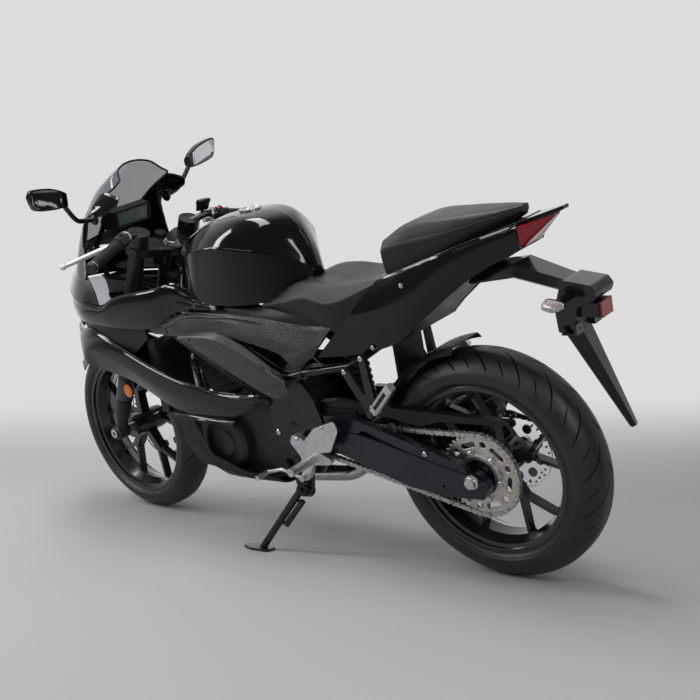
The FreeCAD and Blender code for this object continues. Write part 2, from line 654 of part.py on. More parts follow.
# radiator: core with side tanks, leaning back ahead of the cylinder
core_x = fore(1062)
core = welded(block(core_x - 12, core_x + 12, -140, 140, 424, 640), block(core_x - 16, core_x + 16, -158, -138, 418, 645),
              block(core_x - 16, core_x + 16, 138, 158, 418, 645))
radiator_stay = [rod(V(core_x - 10, 126 * s, 622), V(fore(985), 128 * s, 664), 8.0) for s in (-1, 1)]
nodes["radiator"] = trimmed(welded(core, *radiator_stay), [nodes["frame_left"], nodes["frame_right"]])

# ---------------------------------------------------------------------------
# Swingarm, shock and rear axle
# ---------------------------------------------------------------------------

AXLE_Z = REAR_AXLE.z
beam = side_plate([
    (560, 402, 20), (500, 424, 20), (330, 402, 15), (-38, AXLE_Z + 2, 12), (-46, AXLE_Z - 14, 10), (-30, AXLE_Z - 46, 12),
    (84, AXLE_Z - 52, 40), (201, AXLE_Z - 40, 30), (423, 342, 40), (540, 338, 20),
], ARM_INNER, ARM_OUTER)
arch = side_plate([
    (520, 424, 10), (492, 447, 8), (372, 452, 20), (28, AXLE_Z + 42, 10), (6, AXLE_Z + 8, 8), (70, AXLE_Z + 6, 5),
    (110, AXLE_Z + 31, 20),
    (330, 418, 20), (360, 402, 10), (490, 410, 8),
], ARM_INNER + 4, ARM_OUTER - 3)
axle_hole = disc(REAR_AXLE_R, ARM_INNER - 2, ARM_OUTER + 2, REAR_AXLE)
pivot_hole = disc(9.0, ARM_INNER - 60, ARM_OUTER + 2, V(PIVOT_X, 0, PIVOT_Z))
SPOOL_X, SPOOL_BELOW, SPOOL_R = 90.0, 24.0, 4.0
spool = disc(SPOOL_R, ARM_INNER + 6, ARM_OUTER + 2, V(SPOOL_X, 0, AXLE_Z - SPOOL_BELOW))
arm_side = welded(beam, arch).cut([axle_hole, spool])
trunnion = rod(V(PIVOT_X, 60, PIVOT_Z), V(PIVOT_X, 111.5, PIVOT_Z), 24.0)
arm_cut = side_plate([(462, 300), (462, 480), (580, 480), (580, 300)], 111.5, 140)
arm = arm_side.cut([arm_cut, pivot_hole])
nodes["swingarm_left"] = arm
nodes["swingarm_right"] = mirrored(arm)
bridge = side_plate([(448, 332, 15), (448, 392, 15), (385, 398, 15), (372, 372, 15), (385, 330, 15)], -ARM_INNER, ARM_INNER)
bridge = bridge.cut(block(300, 460, CHAIN_Y - 14, CHAIN_Y + 14, 320, 334))
pivot_tube = disc(24.0, -ARM_INNER, ARM_INNER - 30, V(PIVOT_X, 0, PIVOT_Z), 9.0)
link = block(440, 505, -60, 66, 352, 388)
clevis = [side_plate([(395, 396), (425, 396), (418, 440, 10), (398, 440, 10)], y, y + 8) for y in (-24, 16)]
bridge = welded(bridge, pivot_tube, link, *clevis).cut(disc(9.0, -ARM_INNER - 1, ARM_INNER, V(PIVOT_X, 0, PIVOT_Z)))
nodes["swingarm_bridge"] = bridge.cut([nodes["engine"]])
pivot_bolt = welded(
    disc(9.0, -132, 132, V(PIVOT_X, 0, PIVOT_Z)), disc(15.0, 124, 134, V(PIVOT_X, 0, PIVOT_Z)),
    disc(15.0, -134, -124, V(PIVOT_X, 0, PIVOT_Z)))
nodes["pivot_bolt"] = pivot_bolt

rear_pin = disc(REAR_AXLE_R, -ARM_OUTER - 14, ARM_OUTER + 16, REAR_AXLE)
rear_nut = turned([(0, 8.5), (0, 19), (4, 19), (6, 14), (16, 14), (16, 8.5)], V(0, ARM_OUTER, REAR_TYRE_R))
rear_head = disc(16.0, -ARM_OUTER - 12, -ARM_OUTER, REAR_AXLE)
rear_spacers = [disc(14.0, CHAIN_Y + CHAIN_GAP, ARM_INNER, REAR_AXLE),
                disc(14.0, -ARM_INNER, REAR_DISC_Y - DISC_THICK / 2 - 0.3, REAR_AXLE)]
nodes["rear_axle"] = welded(rear_pin, rear_nut, rear_head, *rear_spacers)

coil = [(-120, 0), (-120, 20)]
for i in range(7):
    z = -76 + 21.0 * i
    coil += [(z - 6, 27), (z, 33), (z + 6, 33)]
coil += [(76, 20), (112, 18), (112, 0)]
shock_wire = loop(coil, lambda s, r: V(411, r, 545 + s))
shock = Part.Face(shock_wire).revolve(V(411, 0, 545), V(0, 0, 1), 360)
shock = shock.rotate(V(411, 0, 545), V(0, 1, 0), 4)
nodes["rear_shock"] = shock.cut([nodes["swingarm_bridge"], nodes["subframe"]])

# rear caliper rides on a bracket over the axle, round the disc
cal = V(60, 0, REAR_TYRE_R + 104)
pads = block(cal.x - 36, cal.x + 36, REAR_DISC_Y - 15, REAR_DISC_Y + 12, cal.z - 24, cal.z + 26)
pads = pads.rotate(cal, V(0, 1, 0), 30)
bracket = side_plate([(x, AXLE_Z + up, r) for x, up, r in (
    (-18, -14, 12), (18, -18, 12), (60, 46, 20), (88, 86, 10), (60, 106, 10), (0, 26, 20))], -ARM_INNER, REAR_DISC_Y - 8)
bracket = bracket.cut(disc(14.0, -ARM_INNER - 1, REAR_DISC_Y, REAR_AXLE))
kerf = disc(REAR_DISC_R + 3, REAR_DISC_Y - 5.5, REAR_DISC_Y + 5.5, REAR_AXLE)
nodes["rear_caliper"] = welded(pads, bracket).cut(kerf).cut([nodes["swingarm_right"]])

# chain guard: a light pressed blade over the upper run
guard = side_plate([
    (492, 447), (484, 476, 5), (434, 485, 10), (309, 483, 10), (232, AXLE_Z + 166), (-112, AXLE_Z + 160, 3),
    (-96, AXLE_Z + 148), (94, AXLE_Z + 141), (160, AXLE_Z + 122), (250, AXLE_Z + 138), (372, 452),
], 96, 99.5)
guard_line = ((484, 478), (434, 485), (232, AXLE_Z + 166), (-112, AXLE_Z + 160))
guard_top = side_plate(list(guard_line) + [(x, z - 3) for x, z in guard_line[::-1]], REAR_TYRE_W + 6, 99.5)
guard_tab = side_plate([(486, 440), (478, 462), (360, 466), (360, 448), (372, 446)], 99.5, ARM_INNER + 4)
nodes["chain_guard"] = welded(guard, guard_top, guard_tab).cut([nodes["swingarm_left"]])

# inner fender between wheel and seat
HUG_R = REAR_TYRE_R + 16
hug = Part.Face(loop([(-70, HUG_R - 14), (-58, HUG_R), (58, HUG_R), (70, HUG_R - 14), (70, HUG_R - 11),
                      (58, HUG_R + 3), (-58, HUG_R + 3), (-70, HUG_R - 11)],
                     lambda y, r: V(0, y, REAR_TYRE_R + r)))
hug = hug.revolve(REAR_AXLE, V(0, 1, 0), 62).rotate(REAR_AXLE, V(0, 1, 0), 8)
HANGER_X = 230.0
hanger_low = AXLE_Z + math.sqrt(HUG_R ** 2 - HANGER_X ** 2) - 5.6
hanger = block(HANGER_X - 4, HANGER_X + 4, -60, 60, hanger_low, 754)
nodes["inner_fender"] = welded(hug, hanger).cut([nodes["subframe"], nodes["rear_shock"]])

# ---------------------------------------------------------------------------
# Tank and seats
# ---------------------------------------------------------------------------

TANK = [
    # x, ridge z, shoulder y, shoulder z, crease y, crease z, low y, low z
    (975, 893, 34, 886, 70, 862, 74, 820),
    (900, 945, 62, 935, 118, 880, 132, 800),
    (800, 983, 84, 972, 160, 918, 172, 775),
    (690, 996, 88, 988, 168, 930, 172, 768),
    (610, 990, 74, 980, 142, 914, 150, 768),
    (556, 968, 44, 952, 88, 890, 104, 768),
    (514, 912, 20, 900, 44, 856, 62, 768),
    (492, 838, 12, 830, 22, 812, 42, 768),
]


def tank_form(grow):
    """The tank's outer form, or the same form a little larger all round."""
    wires = []
    for x, rz, sy, sz, cy, cz, ly, lz in TANK:
        half = [(sy + grow, sz + grow), (cy + grow, cz), (ly + grow, lz)]
        corners = [(0, rz + grow)] + half + [(-y, z) for y, z in half[::-1]]
        wires.append(loop(corners, lambda y, z, x=fore(x): V(x, y, z)))
    return loft(wires, False)


tank = tank_form(0.0)
tank_room = tank_form(TANK_GAP)
cap = Part.makeCylinder(34, 14, V(fore(700), 0, 986), V(0, 0, 1))
nodes["fuel_tank"] = tank.fuse(cap)

TAIL_MARKS = (0.0, 0.45, 1.0)
TAIL = [
    # top x, z, low x, z, y at top, middle, low
    (208, 834, 428, 622, 104, 130, 140),
    (140, 857, 292, 636, 104, 129, 130),
    (65, 882, 166, 670, 101, 123, 120),
    (0, 903, 91, 726, 98, 114, 106),
    (-90, 932, -45, 824, 84, 94, 78),
    (-186, 960, -186, 893, 60, 66, 54),
]
tail_shell, tail_fill = saddle(TAIL, TAIL_MARKS)
TAIL_FLOOR = ((150, 122, 676), (95, 103, 726), (-43, 75, 826), (-180, 51, 896))
tail_floor = loft([loop([(-w, 0), (w, 0), (w, PANEL), (-w, PANEL)], lambda y, z, x=x, low=low: V(x, y, low + z))
                   for x, w, low in TAIL_FLOOR])
tail_lip = loft([loop([(-w, 0), (w, 0), (w, PANEL), (-w, PANEL)], lambda y, z, x=x, low=low: V(x, y, low + z))
                 for x, w, low in ((-178, 58, 955), (-286, 24, 984))])
nodes["tail_cowl"] = welded(tail_shell, tail_floor, tail_lip)
lens = loft([
    loop([(-50, 896), (50, 896), (62, 930), (56, 957), (-56, 957), (-62, 930)], lambda y, z: V(-186, y, z)),
    loop([(-18, 968), (18, 968), (26, 974), (24, 986), (-24, 986), (-26, 974)], lambda y, z: V(-284, y, z)),
])
nodes["tail_light"] = trimmed(lens, [nodes["tail_cowl"]])

RIDER = [
    # x, centre z, shoulder y, shoulder z, edge y, edge z, floor z
    (590, 772, 90, 776, 140, 766, 752),
    (500, 806, 95, 812, 150, 780, 742),
    (430, 806, 100, 818, 146, 790, 722),
    (340, 802, 104, 812, 142, 776, 700),
    (215, 826, 84, 828, 104, 820, 806),
]
wires = []
for x, cz, sy, sz, ey, ez, fz in RIDER:
    half = [(sy, sz), (ey, ez), (ey - 8, fz)]
    corners = [(0, cz)] + half + [(-y, z) for y, z in half[::-1]]
    wires.append(loop(corners, lambda y, z, x=x: V(x, y, z)))
rider = loft(wires)

PILLION = [
    # x, centre z, shoulder y, shoulder z, edge y, edge z
    (188, 930, 78, 926, 100, 905),
    (110, 968, 78, 964, 98, 925),
    (0, 978, 70, 974, 90, 942),
    (-110, 986, 52, 982, 66, 966),
    (-188, 990, 34, 988, 42, 984),
]
wires = []
for x, cz, sy, sz, ey, ez in PILLION:
    half = [(sy, sz), (ey, ez)]
    floor = 834 + (208 - x) * 0.325
    corners = [(0, cz)] + half + [(ey - 10, min(floor - 6, ez - 8))]
    corners += [(-y, z) for y, z in corners[:0:-1]]
    wires.append(loop(corners, lambda y, z, x=x: V(x, y, z)))
pillion = loft(wires)
nodes["rider_seat"] = trimmed(rider, [tank_room, tail_fill, nodes["tail_cowl"], nodes["subframe"]])
nodes["pillion_seat"] = trimmed(pillion, [tail_fill, nodes["tail_cowl"], nodes["tail_light"]])

# ---------------------------------------------------------------------------
# Fairing
# ---------------------------------------------------------------------------

NOSE_MARKS = (0.0, 0.12, 0.3, 0.6, 1.0)
NOSE = [
    # tip x, z, rear x, z, half widths along the chord
    (1532, 786, 1222, 760, 14, 66, 118, 168, 188),
    (1502, 834, 1232, 802, 12, 58, 106, 158, 184),
    (1446, 884, 1264, 852, 12, 46, 88, 140, 174),
]


def bow(rows, marks, wall=PANEL):
    """U-shaped band round the front: sections fan out from tip to rear edge."""
    wires = []
    for row in rows:
        length, place = chord_place(row)
        left = [V(f * length, y, 0) for f, y in zip(marks, row[4:])]
        right = [V(p.x, -p.y, 0) for p in left]
        outer = left[::-1] + right
        inner = shifted(outer, -wall)
        wires.append(loop([(p.x, p.y) for p in outer + inner[::-1]], place))
    return loft(wires)


nose = bow(NOSE, NOSE_MARKS)
HORN_MARKS = (0.0, 0.5, 1.0)
HORN = [
    # top x, z, low x, z, half widths: the side of the screen up to the mirror
    (1410, 898, 1404, 862, 60, 70, 84),
    (1338, 962, 1338, 852, 100, 128, 150),
    (1264, 1026, 1264, 842, 120, 152, 178),
    (1210, 1060, 1236, 1006, 126, 140, 158),
    (1150, 1088, 1156, 1022, 128, 138, 146),
    (1080, 1074, 1094, 1046, 132, 138, 138),
]
horn = side_panel(HORN, HORN_MARKS, 4.0)

SCREEN_SHAPE = ((0.0, 0.0), (0.12, 0.46), (0.45, 0.82), (1.0, 1.0))
SCREEN_ROWS = [
    # crown x, z, edge x, z, half width
    (1440, 889, 1402, 898, 52),
    (1384, 958, 1334, 960, 91),
    (1312, 1040, 1260, 1022, 111),
    (1236, 1106, 1204, 1058, 117),
    (1172, 1146, 1130, 1092, 112),
    (1154, 1153, 1120, 1112, 84),
]
wires = []
for cx, cz, ex, ez, hw in SCREEN_ROWS:
    length, place = chord_place((cx, cz, ex, ez))
    half = [V(f * length, hw * share, 0) for f, share in SCREEN_SHAPE]
    outer = half[::-1] + [V(p.x, -p.y, 0) for p in half[1:]]
    inner = shifted(outer, -SCREEN)
    wires.append(loop([(p.x, p.y) for p in outer + inner[::-1]], place))
nodes["windscreen"] = loft(wires)
SCREEN_FIXINGS = ((1336, 956, 90), (1262, 1018, 108), (1180, 1064, 112))
wellnuts = [rod(V(fore(x), y, z), V(fore(x), y + 28, z), 5.0) for x, z, y in SCREEN_FIXINGS]
nose_side = welded(horn, *wellnuts)
nodes["nose_cowl"] = welded(nose, nose_side, mirrored(nose_side)).cut(nodes["windscreen"])

SIDE_MARKS = (0.0, 0.5, 1.0)
SIDE = [
    # top x, z, low x, z, half widths
    (1490, 781, 1490, 700, 62, 70, 66),
    (1420, 775, 1420, 690, 124, 132, 124),
    (1330, 768, 1330, 696, 168, 176, 166),
    (1222, 759, 1224, 690, 188, 191, 180),
    (1150, 786, 1150, 689, 190, 194, 184),
    (1050, 803, 1050, 690, 188, 194, 186),
    (975, 814, 980, 700, 182, 190, 186),
    (900, 829, 915, 738, 172, 180, 182),
    (800, 790, 835, 755, 174, 176, 178),
    (724, 764, 730, 758, 174, 175, 176),
]
side_cowl = side_panel(SIDE, SIDE_MARKS)
nodes["side_cowls"] = both(trimmed(side_cowl, [nodes["nose_cowl"], tank_room]))

KNEE = [
    # top x, z, low x, z, half widths
    (1020, 696, 1008, 679, 182, 184, 184),
    (880, 740, 894, 674, 177, 186, 182),
    (746, 744, 762, 688, 172, 182, 178),
    (683, 744, 670, 672, 168, 180, 176),
    (560, 729, 545, 640, 162, 176, 170),
    (450, 714, 500, 598, 152, 166, 156),
    (356, 712, 434, 626, 140, 152, 148),
]
knee = side_panel(KNEE, SIDE_MARKS)
nodes["knee_panels"] = both(trimmed(knee, [nodes["side_cowls"], tank_room, nodes["rider_seat"], nodes["tail_cowl"]]))

WING_MARKS = (0.0, 0.14, 0.55, 1.0)
WING = [
    (905, 680, 888, 660, 180, 190, 194, 188),
    (762, 695, 762, 606, 178, 199, 205, 194),
    (680, 668, 662, 553, 176, 195, 201, 190),
    (598, 616, 578, 510, 172, 186, 191, 180),
    (530, 560, 518, 526, 168, 177, 180, 172),
]
wing = side_panel(WING, WING_MARKS)
nodes["wing_panels"] = both(trimmed(wing, [nodes["knee_panels"]]))

LOWER = [
    (1488, 662, 1452, 608, 80, 95, 86),
    (1400, 664, 1376, 569, 138, 162, 174),
    (1310, 674, 1292, 552, 168, 186, 182),
    (1180, 632, 1140, 518, 192, 199, 186),
    (1030, 578, 985, 452, 203, 206, 190),
    (900, 541, 850, 424, 205, 202, 182),
    (762, 517, 736, 444, 198, 196, 182),
    (628, 520, 622, 500, 188, 189, 187),
]
lower = side_panel(LOWER, SIDE_MARKS)
FIN = [
    (1000, 436, 985, 408, 184, 190, 162),
    (850, 432, 850, 408, 188, 195, 168),
    (750, 428, 752, 410, 184, 189, 172),
]
fin = side_panel(FIN, SIDE_MARKS)
cowl_stays = [rod(V(fore(x), inner, z), V(fore(x), outer, z), 7.0) for x, z, inner, outer in (
    (1060, 560, 150, 202), (830, 470, 96, 203))]
lower = welded(lower, *cowl_stays)
lower_left = Part.makeCompound([trimmed(lower, [nodes["radiator"], nodes["engine"]]), fin])
nodes["lower_cowls"] = both(lower_left)

BELLY_MARKS = (0.0, 0.45, 0.8, 1.0)
BELLY = [
    # top x, z, low x, z, half widths
    (1010, 416, 985, 206, 166, 162, 128, 70),
    (935, 412, 930, 202, 170, 166, 130, 70),
    (893, 304, 880, 200, 166, 158, 126, 68),
    (780, 258, 780, 202, 156, 148, 116, 60),
    (656, 232, 652, 212, 132, 124, 100, 52),
]
wires = []
for row in BELLY:
    length, place = chord_place(row)
    left = [V(f * length, y, 0) for f, y in zip(BELLY_MARKS, row[4:])]
    right = [V(p.x, -p.y, 0) for p in left]
    outer = left + right[::-1]
    inner = shifted(outer, PANEL)
    wires.append(loop([(p.x, p.y) for p in outer + inner[::-1]], place))
belly = loft(wires)
nodes["belly_pan"] = belly.cut([nodes["engine"], nodes["exhaust"], nodes["lower_cowls"]])

# headlamps under the nose either side of the central duct
lamp = side_panel([
    (1528, 778, 1505, 664, 24, 38, 34),
    (1492, 776, 1470, 660, 62, 70, 66),
    (1425, 770, 1412, 664, 120, 128, 120),
], SIDE_MARKS, 10.0)
nodes["headlights"] = both(trimmed(lamp, [nodes["side_cowls"], nodes["nose_cowl"], nodes["lower_cowls"]]))

# stay from the steering head to the nose, carrying the instruments
stays = [pipe([V(fore(x), y * s, z) for x, y, z in (
    (1140, 14, 762), (1268, 14, 790), (1312, 58, 808), (1336, 60, 900), (1262, 60, 985))], 8.0, 24) for s in (-1, 1)]
stay = welded(stays[0], stays[1], rod(V(fore(1312), -58, 808), V(fore(1312), 58, 808), 8.0))
nodes["front_stay"] = stay.cut([nodes["frame_head"]])
dash = side_plate([(fore(x), z, r) for x, z, r in (
    (1196, 1014, 6), (1236, 1022, 6), (1268, 985, 8), (1250, 962, 8), (1206, 966, 6))], -74, 74)
nodes["instrument_panel"] = dash.cut([nodes["front_stay"]])

# mirrors on stalks from the horns
stalk = pipe([V(fore(1196), 140, 1012), V(fore(1202), 206, 1024), V(fore(1178), 262, 1096)], 8.0, 22)
shell_wires = []
for y, c, h, d in ((246, 1097, 18, 18), (300, 1112, 33, 26), (350, 1122, 32, 24), (368, 1132, 16, 14)):
    shell_wires.append(loop([(-d, -h), (2, -h), (8, h), (-d + 8, h), (-d - 4, 0)],
                            lambda u, v, y=y, c=c: V(fore(1172) - u, y, c + v)))
housing = loft(shell_wires)
nodes["mirrors"] = both(trimmed(welded(stalk, housing), [nodes["nose_cowl"]]))

# ---------------------------------------------------------------------------
# Tail pieces
# ---------------------------------------------------------------------------

PLATE_X = -302.0             # face that the two plate ears stand in
arm_wires = []
for x, z, hw, t in ((-30, 822, 58, 16), (-150, 838, 54, 16), (PLATE_X + 42, 806, 44, 14), (PLATE_X + 2, 794, 42, 14)):
    arm_wires.append(loop([(-hw, -t + 6), (-hw + 8, -t), (hw - 8, -t), (hw, -t + 6), (hw - 12, t), (-hw + 12, t)],
                          lambda u, v, x=x, z=z: V(x, u, z + v)))
arm = loft(arm_wires)
tail_head = side_plate([(PLATE_X + x, z, r) for x, z, r in (
    (29, 818, 10), (-45, 806, 10), (-57, 788, 8), (-49, 770, 8), (-3, 752, 10), (9, 690, 5), (51, 690, 5), (55, 750, 20))],
                       -44, 44)
blade = loft([
    loop([(-56, -3), (56, -3), (56, 3), (0, 8), (-56, 3)], lambda u, v: V(PLATE_X + 31 - v, u, 706 - v * 0.26)),
    loop([(-14, -3), (14, -3), (14, 3), (0, 6), (-14, 3)], lambda u, v: V(-392 - v, u, 456 - v * 0.26)),
])
HOLE_PITCH = 90.0
plate_ears = []
for side in (-1, 1):
    ear = side * HOLE_PITCH / 2
    plate_ears.append(block(PLATE_X - 5, PLATE_X + 1, ear - 16, ear + 16, 690, 716))
    plate_ears.append(block(PLATE_X - 5, PLATE_X + 35, ear - 16, ear + 16, 690, 694))
plate_holes = [Part.makeCylinder(3.2, 12, V(PLATE_X - 9, side * HOLE_PITCH / 2, 705), V(1, 0, 0)) for side in (-1, 1)]
holder = welded(arm, tail_head, blade, *plate_ears).cut(plate_holes)
nodes["plate_holder"] = trimmed(holder, [nodes["tail_cowl"], nodes["subframe"], nodes["tail_light"]])
nodes["rear_reflector"] = block(PLATE_X - 57, PLATE_X - 51, -26, 26, 724, 762).cut(nodes["plate_holder"])
reflector_pad = block(PLATE_X - 51, PLATE_X + 2, -30, 30, 726, 760)
nodes["plate_holder"] = nodes["plate_holder"].fuse(reflector_pad)

lamp_stalk = rod(V(PLATE_X + 17, 44, 778), V(PLATE_X + 21, 92, 776), 9.0)
lamp_body = loft([
    loop([(-30, -9, 6), (30, -9, 6), (24, 9, 6), (-24, 9, 6)], lambda u, v: V(PLATE_X + 25 + u * 0.85, 88, 776 + v + u * 0.15)),
    loop([(-22, -8, 6), (22, -8, 6), (18, 8, 6), (-18, 8, 6)], lambda u, v: V(PLATE_X + 23 + u * 0.85, 128, 774 + v + u * 0.15)),
])
nodes["rear_indicators"] = both(welded(lamp_stalk, lamp_body).cut(nodes["plate_holder"]))

# ---------------------------------------------------------------------------
# Footrests, controls and stand
# ---------------------------------------------------------------------------

heel = side_plate([(526, 368, 6), (508, 390, 8), (472, 424, 8), (393, 454, 10), (386, 425, 10), (425, 360, 10), (480, 352, 8)], 158, 162)
casting = side_plate([(560, 396, 10), (536, 392, 10), (470, 352, 12), (430, 334, 10), (440, 318, 10), (500, 312, 12), (530, 262, 8),
                      (556, 258, 8), (540, 330, 20), (572, 372, 10)], 140, 158)
bosses = [disc(9.0, 124, 140, V(x, 0, z)) for x, z in ((553, 384), (543, 272))]
peg = rod(V(500, 158, 328), V(500, 252, 330), 12.0)
peg_tip = rod(V(500, 246, 330), V(500, 252, 318), 6.0)
rest = welded(casting, heel, *bosses, peg)
shift = welded(
    disc(10.0, 158, 172, V(543, 0, 272)), pipe([V(543, 168, 272), V(610, 172, 292), V(672, 172, 276)], 5.5, 20),
    rod(V(672, 166, 276), V(672, 214, 274), 8.0))
nodes["footrests"] = Part.makeCompound([welded(rest, shift), mirrored(welded(rest, shift))])

hang = side_plate([(282, 640, 8), (262, 640, 8), (246, 490, 8), (262, 474, 8), (282, 480, 8), (345, 588, 8), (336, 602, 8), (322, 598, 8),
                   (276, 520, 5)], 138, 150)
hang_boss = [disc(8.0, 96, 138, V(271, 0, 633)), disc(8.0, 104, 138, V(334, 0, 593))]
fold_peg = welded(rod(V(254, 158, 488), V(168, 176, 572), 11.0), disc(10.0, 150, 166, V(262, 0, 484)))
passenger = welded(hang, *hang_boss, fold_peg).cut([nodes["subframe"], nodes["tail_cowl"]])
nodes["passenger_footrests"] = both(passenger)

# stand: leg square to its pivot, sprung, with a foot flat on the ground
STAND_AXIS = V(0, 0.894, 0.447)
stand_lug = side_plate([(600, 268, 8), (600, 230, 10), (566, 214, 12), (544, 224, 8), (534, 268, 8)], 124.0, 138.0)
boss_out = Part.makeCylinder(20.0, 26.0, STAND_PIVOT - STAND_AXIS * 30, STAND_AXIS)
pin = Part.makeCylinder(6.0, 34.0, STAND_PIVOT - STAND_AXIS * 14, STAND_AXIS)
stand_mount = welded(stand_lug, boss_out).cut(nodes["frame_left"])
nodes["stand_bracket"] = stand_mount.fuse(pin).cut([nodes["footrests"], nodes["engine"]])
leg_way = STAND_FOOT - STAND_PIVOT
leg_way = leg_way - STAND_AXIS * leg_way.dot(STAND_AXIS)
eye = Part.makeCylinder(17.0, 14.0, STAND_PIVOT - STAND_AXIS * 3.5, STAND_AXIS)
leg_top = STAND_PIVOT + STAND_AXIS * 7.5
leg = welded(eye, pipe([leg_top, leg_top + leg_way * 0.3, STAND_FOOT], 10.5, 60))
leg = leg.cut(Part.makeCylinder(6.0 + RUNNING, 60, STAND_PIVOT - STAND_AXIS * 30, STAND_AXIS))
spring = rod(STAND_PIVOT + leg_way * 0.14 + V(-24, 6, -4), STAND_PIVOT + leg_way * 0.55 + V(-24, 6, -4), 9.0)
spring_lug = rod(STAND_PIVOT + leg_way * 0.52 + V(-24, 6, -4), STAND_PIVOT + leg_way * 0.56, 5.0)
spring_top = rod(STAND_PIVOT + leg_way * 0.17 + V(-24, 6, -4), STAND_PIVOT + leg_way * 0.17, 5.0)
stand_leg = welded(leg, spring, spring_lug, spring_top).cut(
    Part.makeCylinder(6.0 + RUNNING, 60, STAND_PIVOT - STAND_AXIS * 30, STAND_AXIS))

# ---------------------------------------------------------------------------
# Parking: steer, lean, level on the ground, then centre the origin
# ---------------------------------------------------------------------------

FRONT_WHEEL = ("front_tyre", "front_rim", "front_disc")
STEERING = ("steering_clamps", "fork_legs", "front_axle", "handlebars", "grips", "levers", "front_fender", "front_caliper")
REAR_WHEEL = ("rear_tyre", "rear_rim", "rear_disc", "rear_sprocket")


def turn(point, axis, angle):
    """Placement that turns about a line."""
    return Placement(V(0, 0, 0), Rotation(axis, angle), point)


steer = turn(AXIS_FOOT, AXIS_DIR, PARKED_STEER)
lean = turn(V(0, 0, 0), V(1, 0, 0), -LEAN)


def lowest(place, centre, radius, crown):
    """Height of a leaned tyre's lowest point."""
    side = place.Rotation.multVec(V(0, 1, 0))
    return place.multVec(centre).z - (radius - crown) * math.sqrt(1 - side.z ** 2) - crown


rear_low = lowest(lean, REAR_AXLE, REAR_TYRE_R, REAR_CROWN)
front_low = lowest(lean.multiply(steer), FRONT_AXLE, FRONT_TYRE_R, FRONT_CROWN)
level = turn(V(0, 0, rear_low), V(0, 1, 0), math.degrees(math.atan2(front_low - rear_low, WHEELBASE)))
ground = Placement(V(0, 0, -rear_low), Rotation())
PARK = ground.multiply(level).multiply(lean)
PARK_FRONT = PARK.multiply(steer)

for name in list(nodes):
    where = PARK_FRONT if name in FRONT_WHEEL + STEERING else PARK
    nodes[name] = nodes[name].copy()
    nodes[name].transformShape(where.toMatrix())

leg = stand_leg.copy()
leg.transformShape(PARK.toMatrix())
ankle = PARK.multVec(STAND_FOOT)
sole = Part.Face(loop([(-34, -22, 14), (30, -26, 14), (64, -10, 10), (64, 12, 10), (24, 26, 14), (-34, 20, 14)],
                      lambda u, v: V(ankle.x + u, ankle.y + v, 0))).extrude(V(0, 0, 7))
shank = rod(ankle, V(ankle.x, ankle.y, 4), 10.5)
below = Part.makeBox(400, 400, 200, V(ankle.x - 200, ankle.y - 200, -200))
nodes["side_stand"] = welded(leg, shank, sole).cut(below)

whole = Part.makeCompound(list(nodes.values()))
whole.tessellate(0.5)
box = whole.BoundBox
CENTRE = V(-(box.XMin + box.XMax) / 2, -(box.YMin + box.YMax) / 2, 0)
for name, shape in nodes.items():
    shape.translate(CENTRE)
    shape.exportStep("parts/" + name + ".step")
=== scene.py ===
# %% [markdown]
# # A faired sport motorcycle leaning on its side stand
#
# Every solid of the machine is already made, packed and jointed. This lesson dresses
# it: painted panels get smooth skins, tyres get their tread, the drive chain gets its
# links, and each surface gets a finish of its own. Nothing here changes a size.

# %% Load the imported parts
import json
import math

import bmesh
import bpy
import numpy as np
from mathutils import Matrix, Vector


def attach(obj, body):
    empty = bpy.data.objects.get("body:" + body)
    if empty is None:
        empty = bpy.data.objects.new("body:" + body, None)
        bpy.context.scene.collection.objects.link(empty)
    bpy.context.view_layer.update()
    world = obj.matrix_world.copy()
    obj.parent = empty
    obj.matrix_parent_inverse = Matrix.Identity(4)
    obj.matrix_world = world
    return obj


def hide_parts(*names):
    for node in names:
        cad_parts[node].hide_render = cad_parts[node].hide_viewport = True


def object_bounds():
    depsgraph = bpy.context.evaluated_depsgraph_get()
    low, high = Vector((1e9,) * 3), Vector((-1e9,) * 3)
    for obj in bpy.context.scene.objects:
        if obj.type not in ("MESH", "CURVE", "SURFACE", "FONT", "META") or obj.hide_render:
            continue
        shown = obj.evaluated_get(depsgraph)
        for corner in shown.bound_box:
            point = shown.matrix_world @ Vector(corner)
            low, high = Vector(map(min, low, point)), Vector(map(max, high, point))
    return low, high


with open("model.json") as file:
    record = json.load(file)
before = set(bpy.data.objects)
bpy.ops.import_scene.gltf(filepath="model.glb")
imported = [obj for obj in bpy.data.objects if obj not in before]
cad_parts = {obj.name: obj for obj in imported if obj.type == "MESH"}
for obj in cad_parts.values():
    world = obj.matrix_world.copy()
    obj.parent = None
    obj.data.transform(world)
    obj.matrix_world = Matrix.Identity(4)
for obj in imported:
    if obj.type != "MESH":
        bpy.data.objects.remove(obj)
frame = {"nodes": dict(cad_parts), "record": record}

cad_box = [list(corner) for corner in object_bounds()]
record = frame["record"]
print("parts:", len(frame["nodes"]), "box:", [[round(c, 3) for c in corner] for corner in cad_box])

# %% [markdown]
# ## A frame of reference that stands upright
#
# The parked machine leans and its bars are turned, so its own numbers are awkward to
# read off. The joints in the record say where the rear axle, the steering axis and the
# front axle lie. From them we rebuild the upright frame that a mechanic would measure
# in: X forward from the rear axle, Y to the left, Z up from the ground, in millimetres.

# %% Upright machine frame from the joints
REAR_RADIUS, FRONT_RADIUS = 314.0, 293.0
WHEELBASE, TRAIL, RAKE = 1380.0, 95.0, 25.0
PARKED_STEER = -5.2
HEAD_STATION = 850.0
MM = 0.001

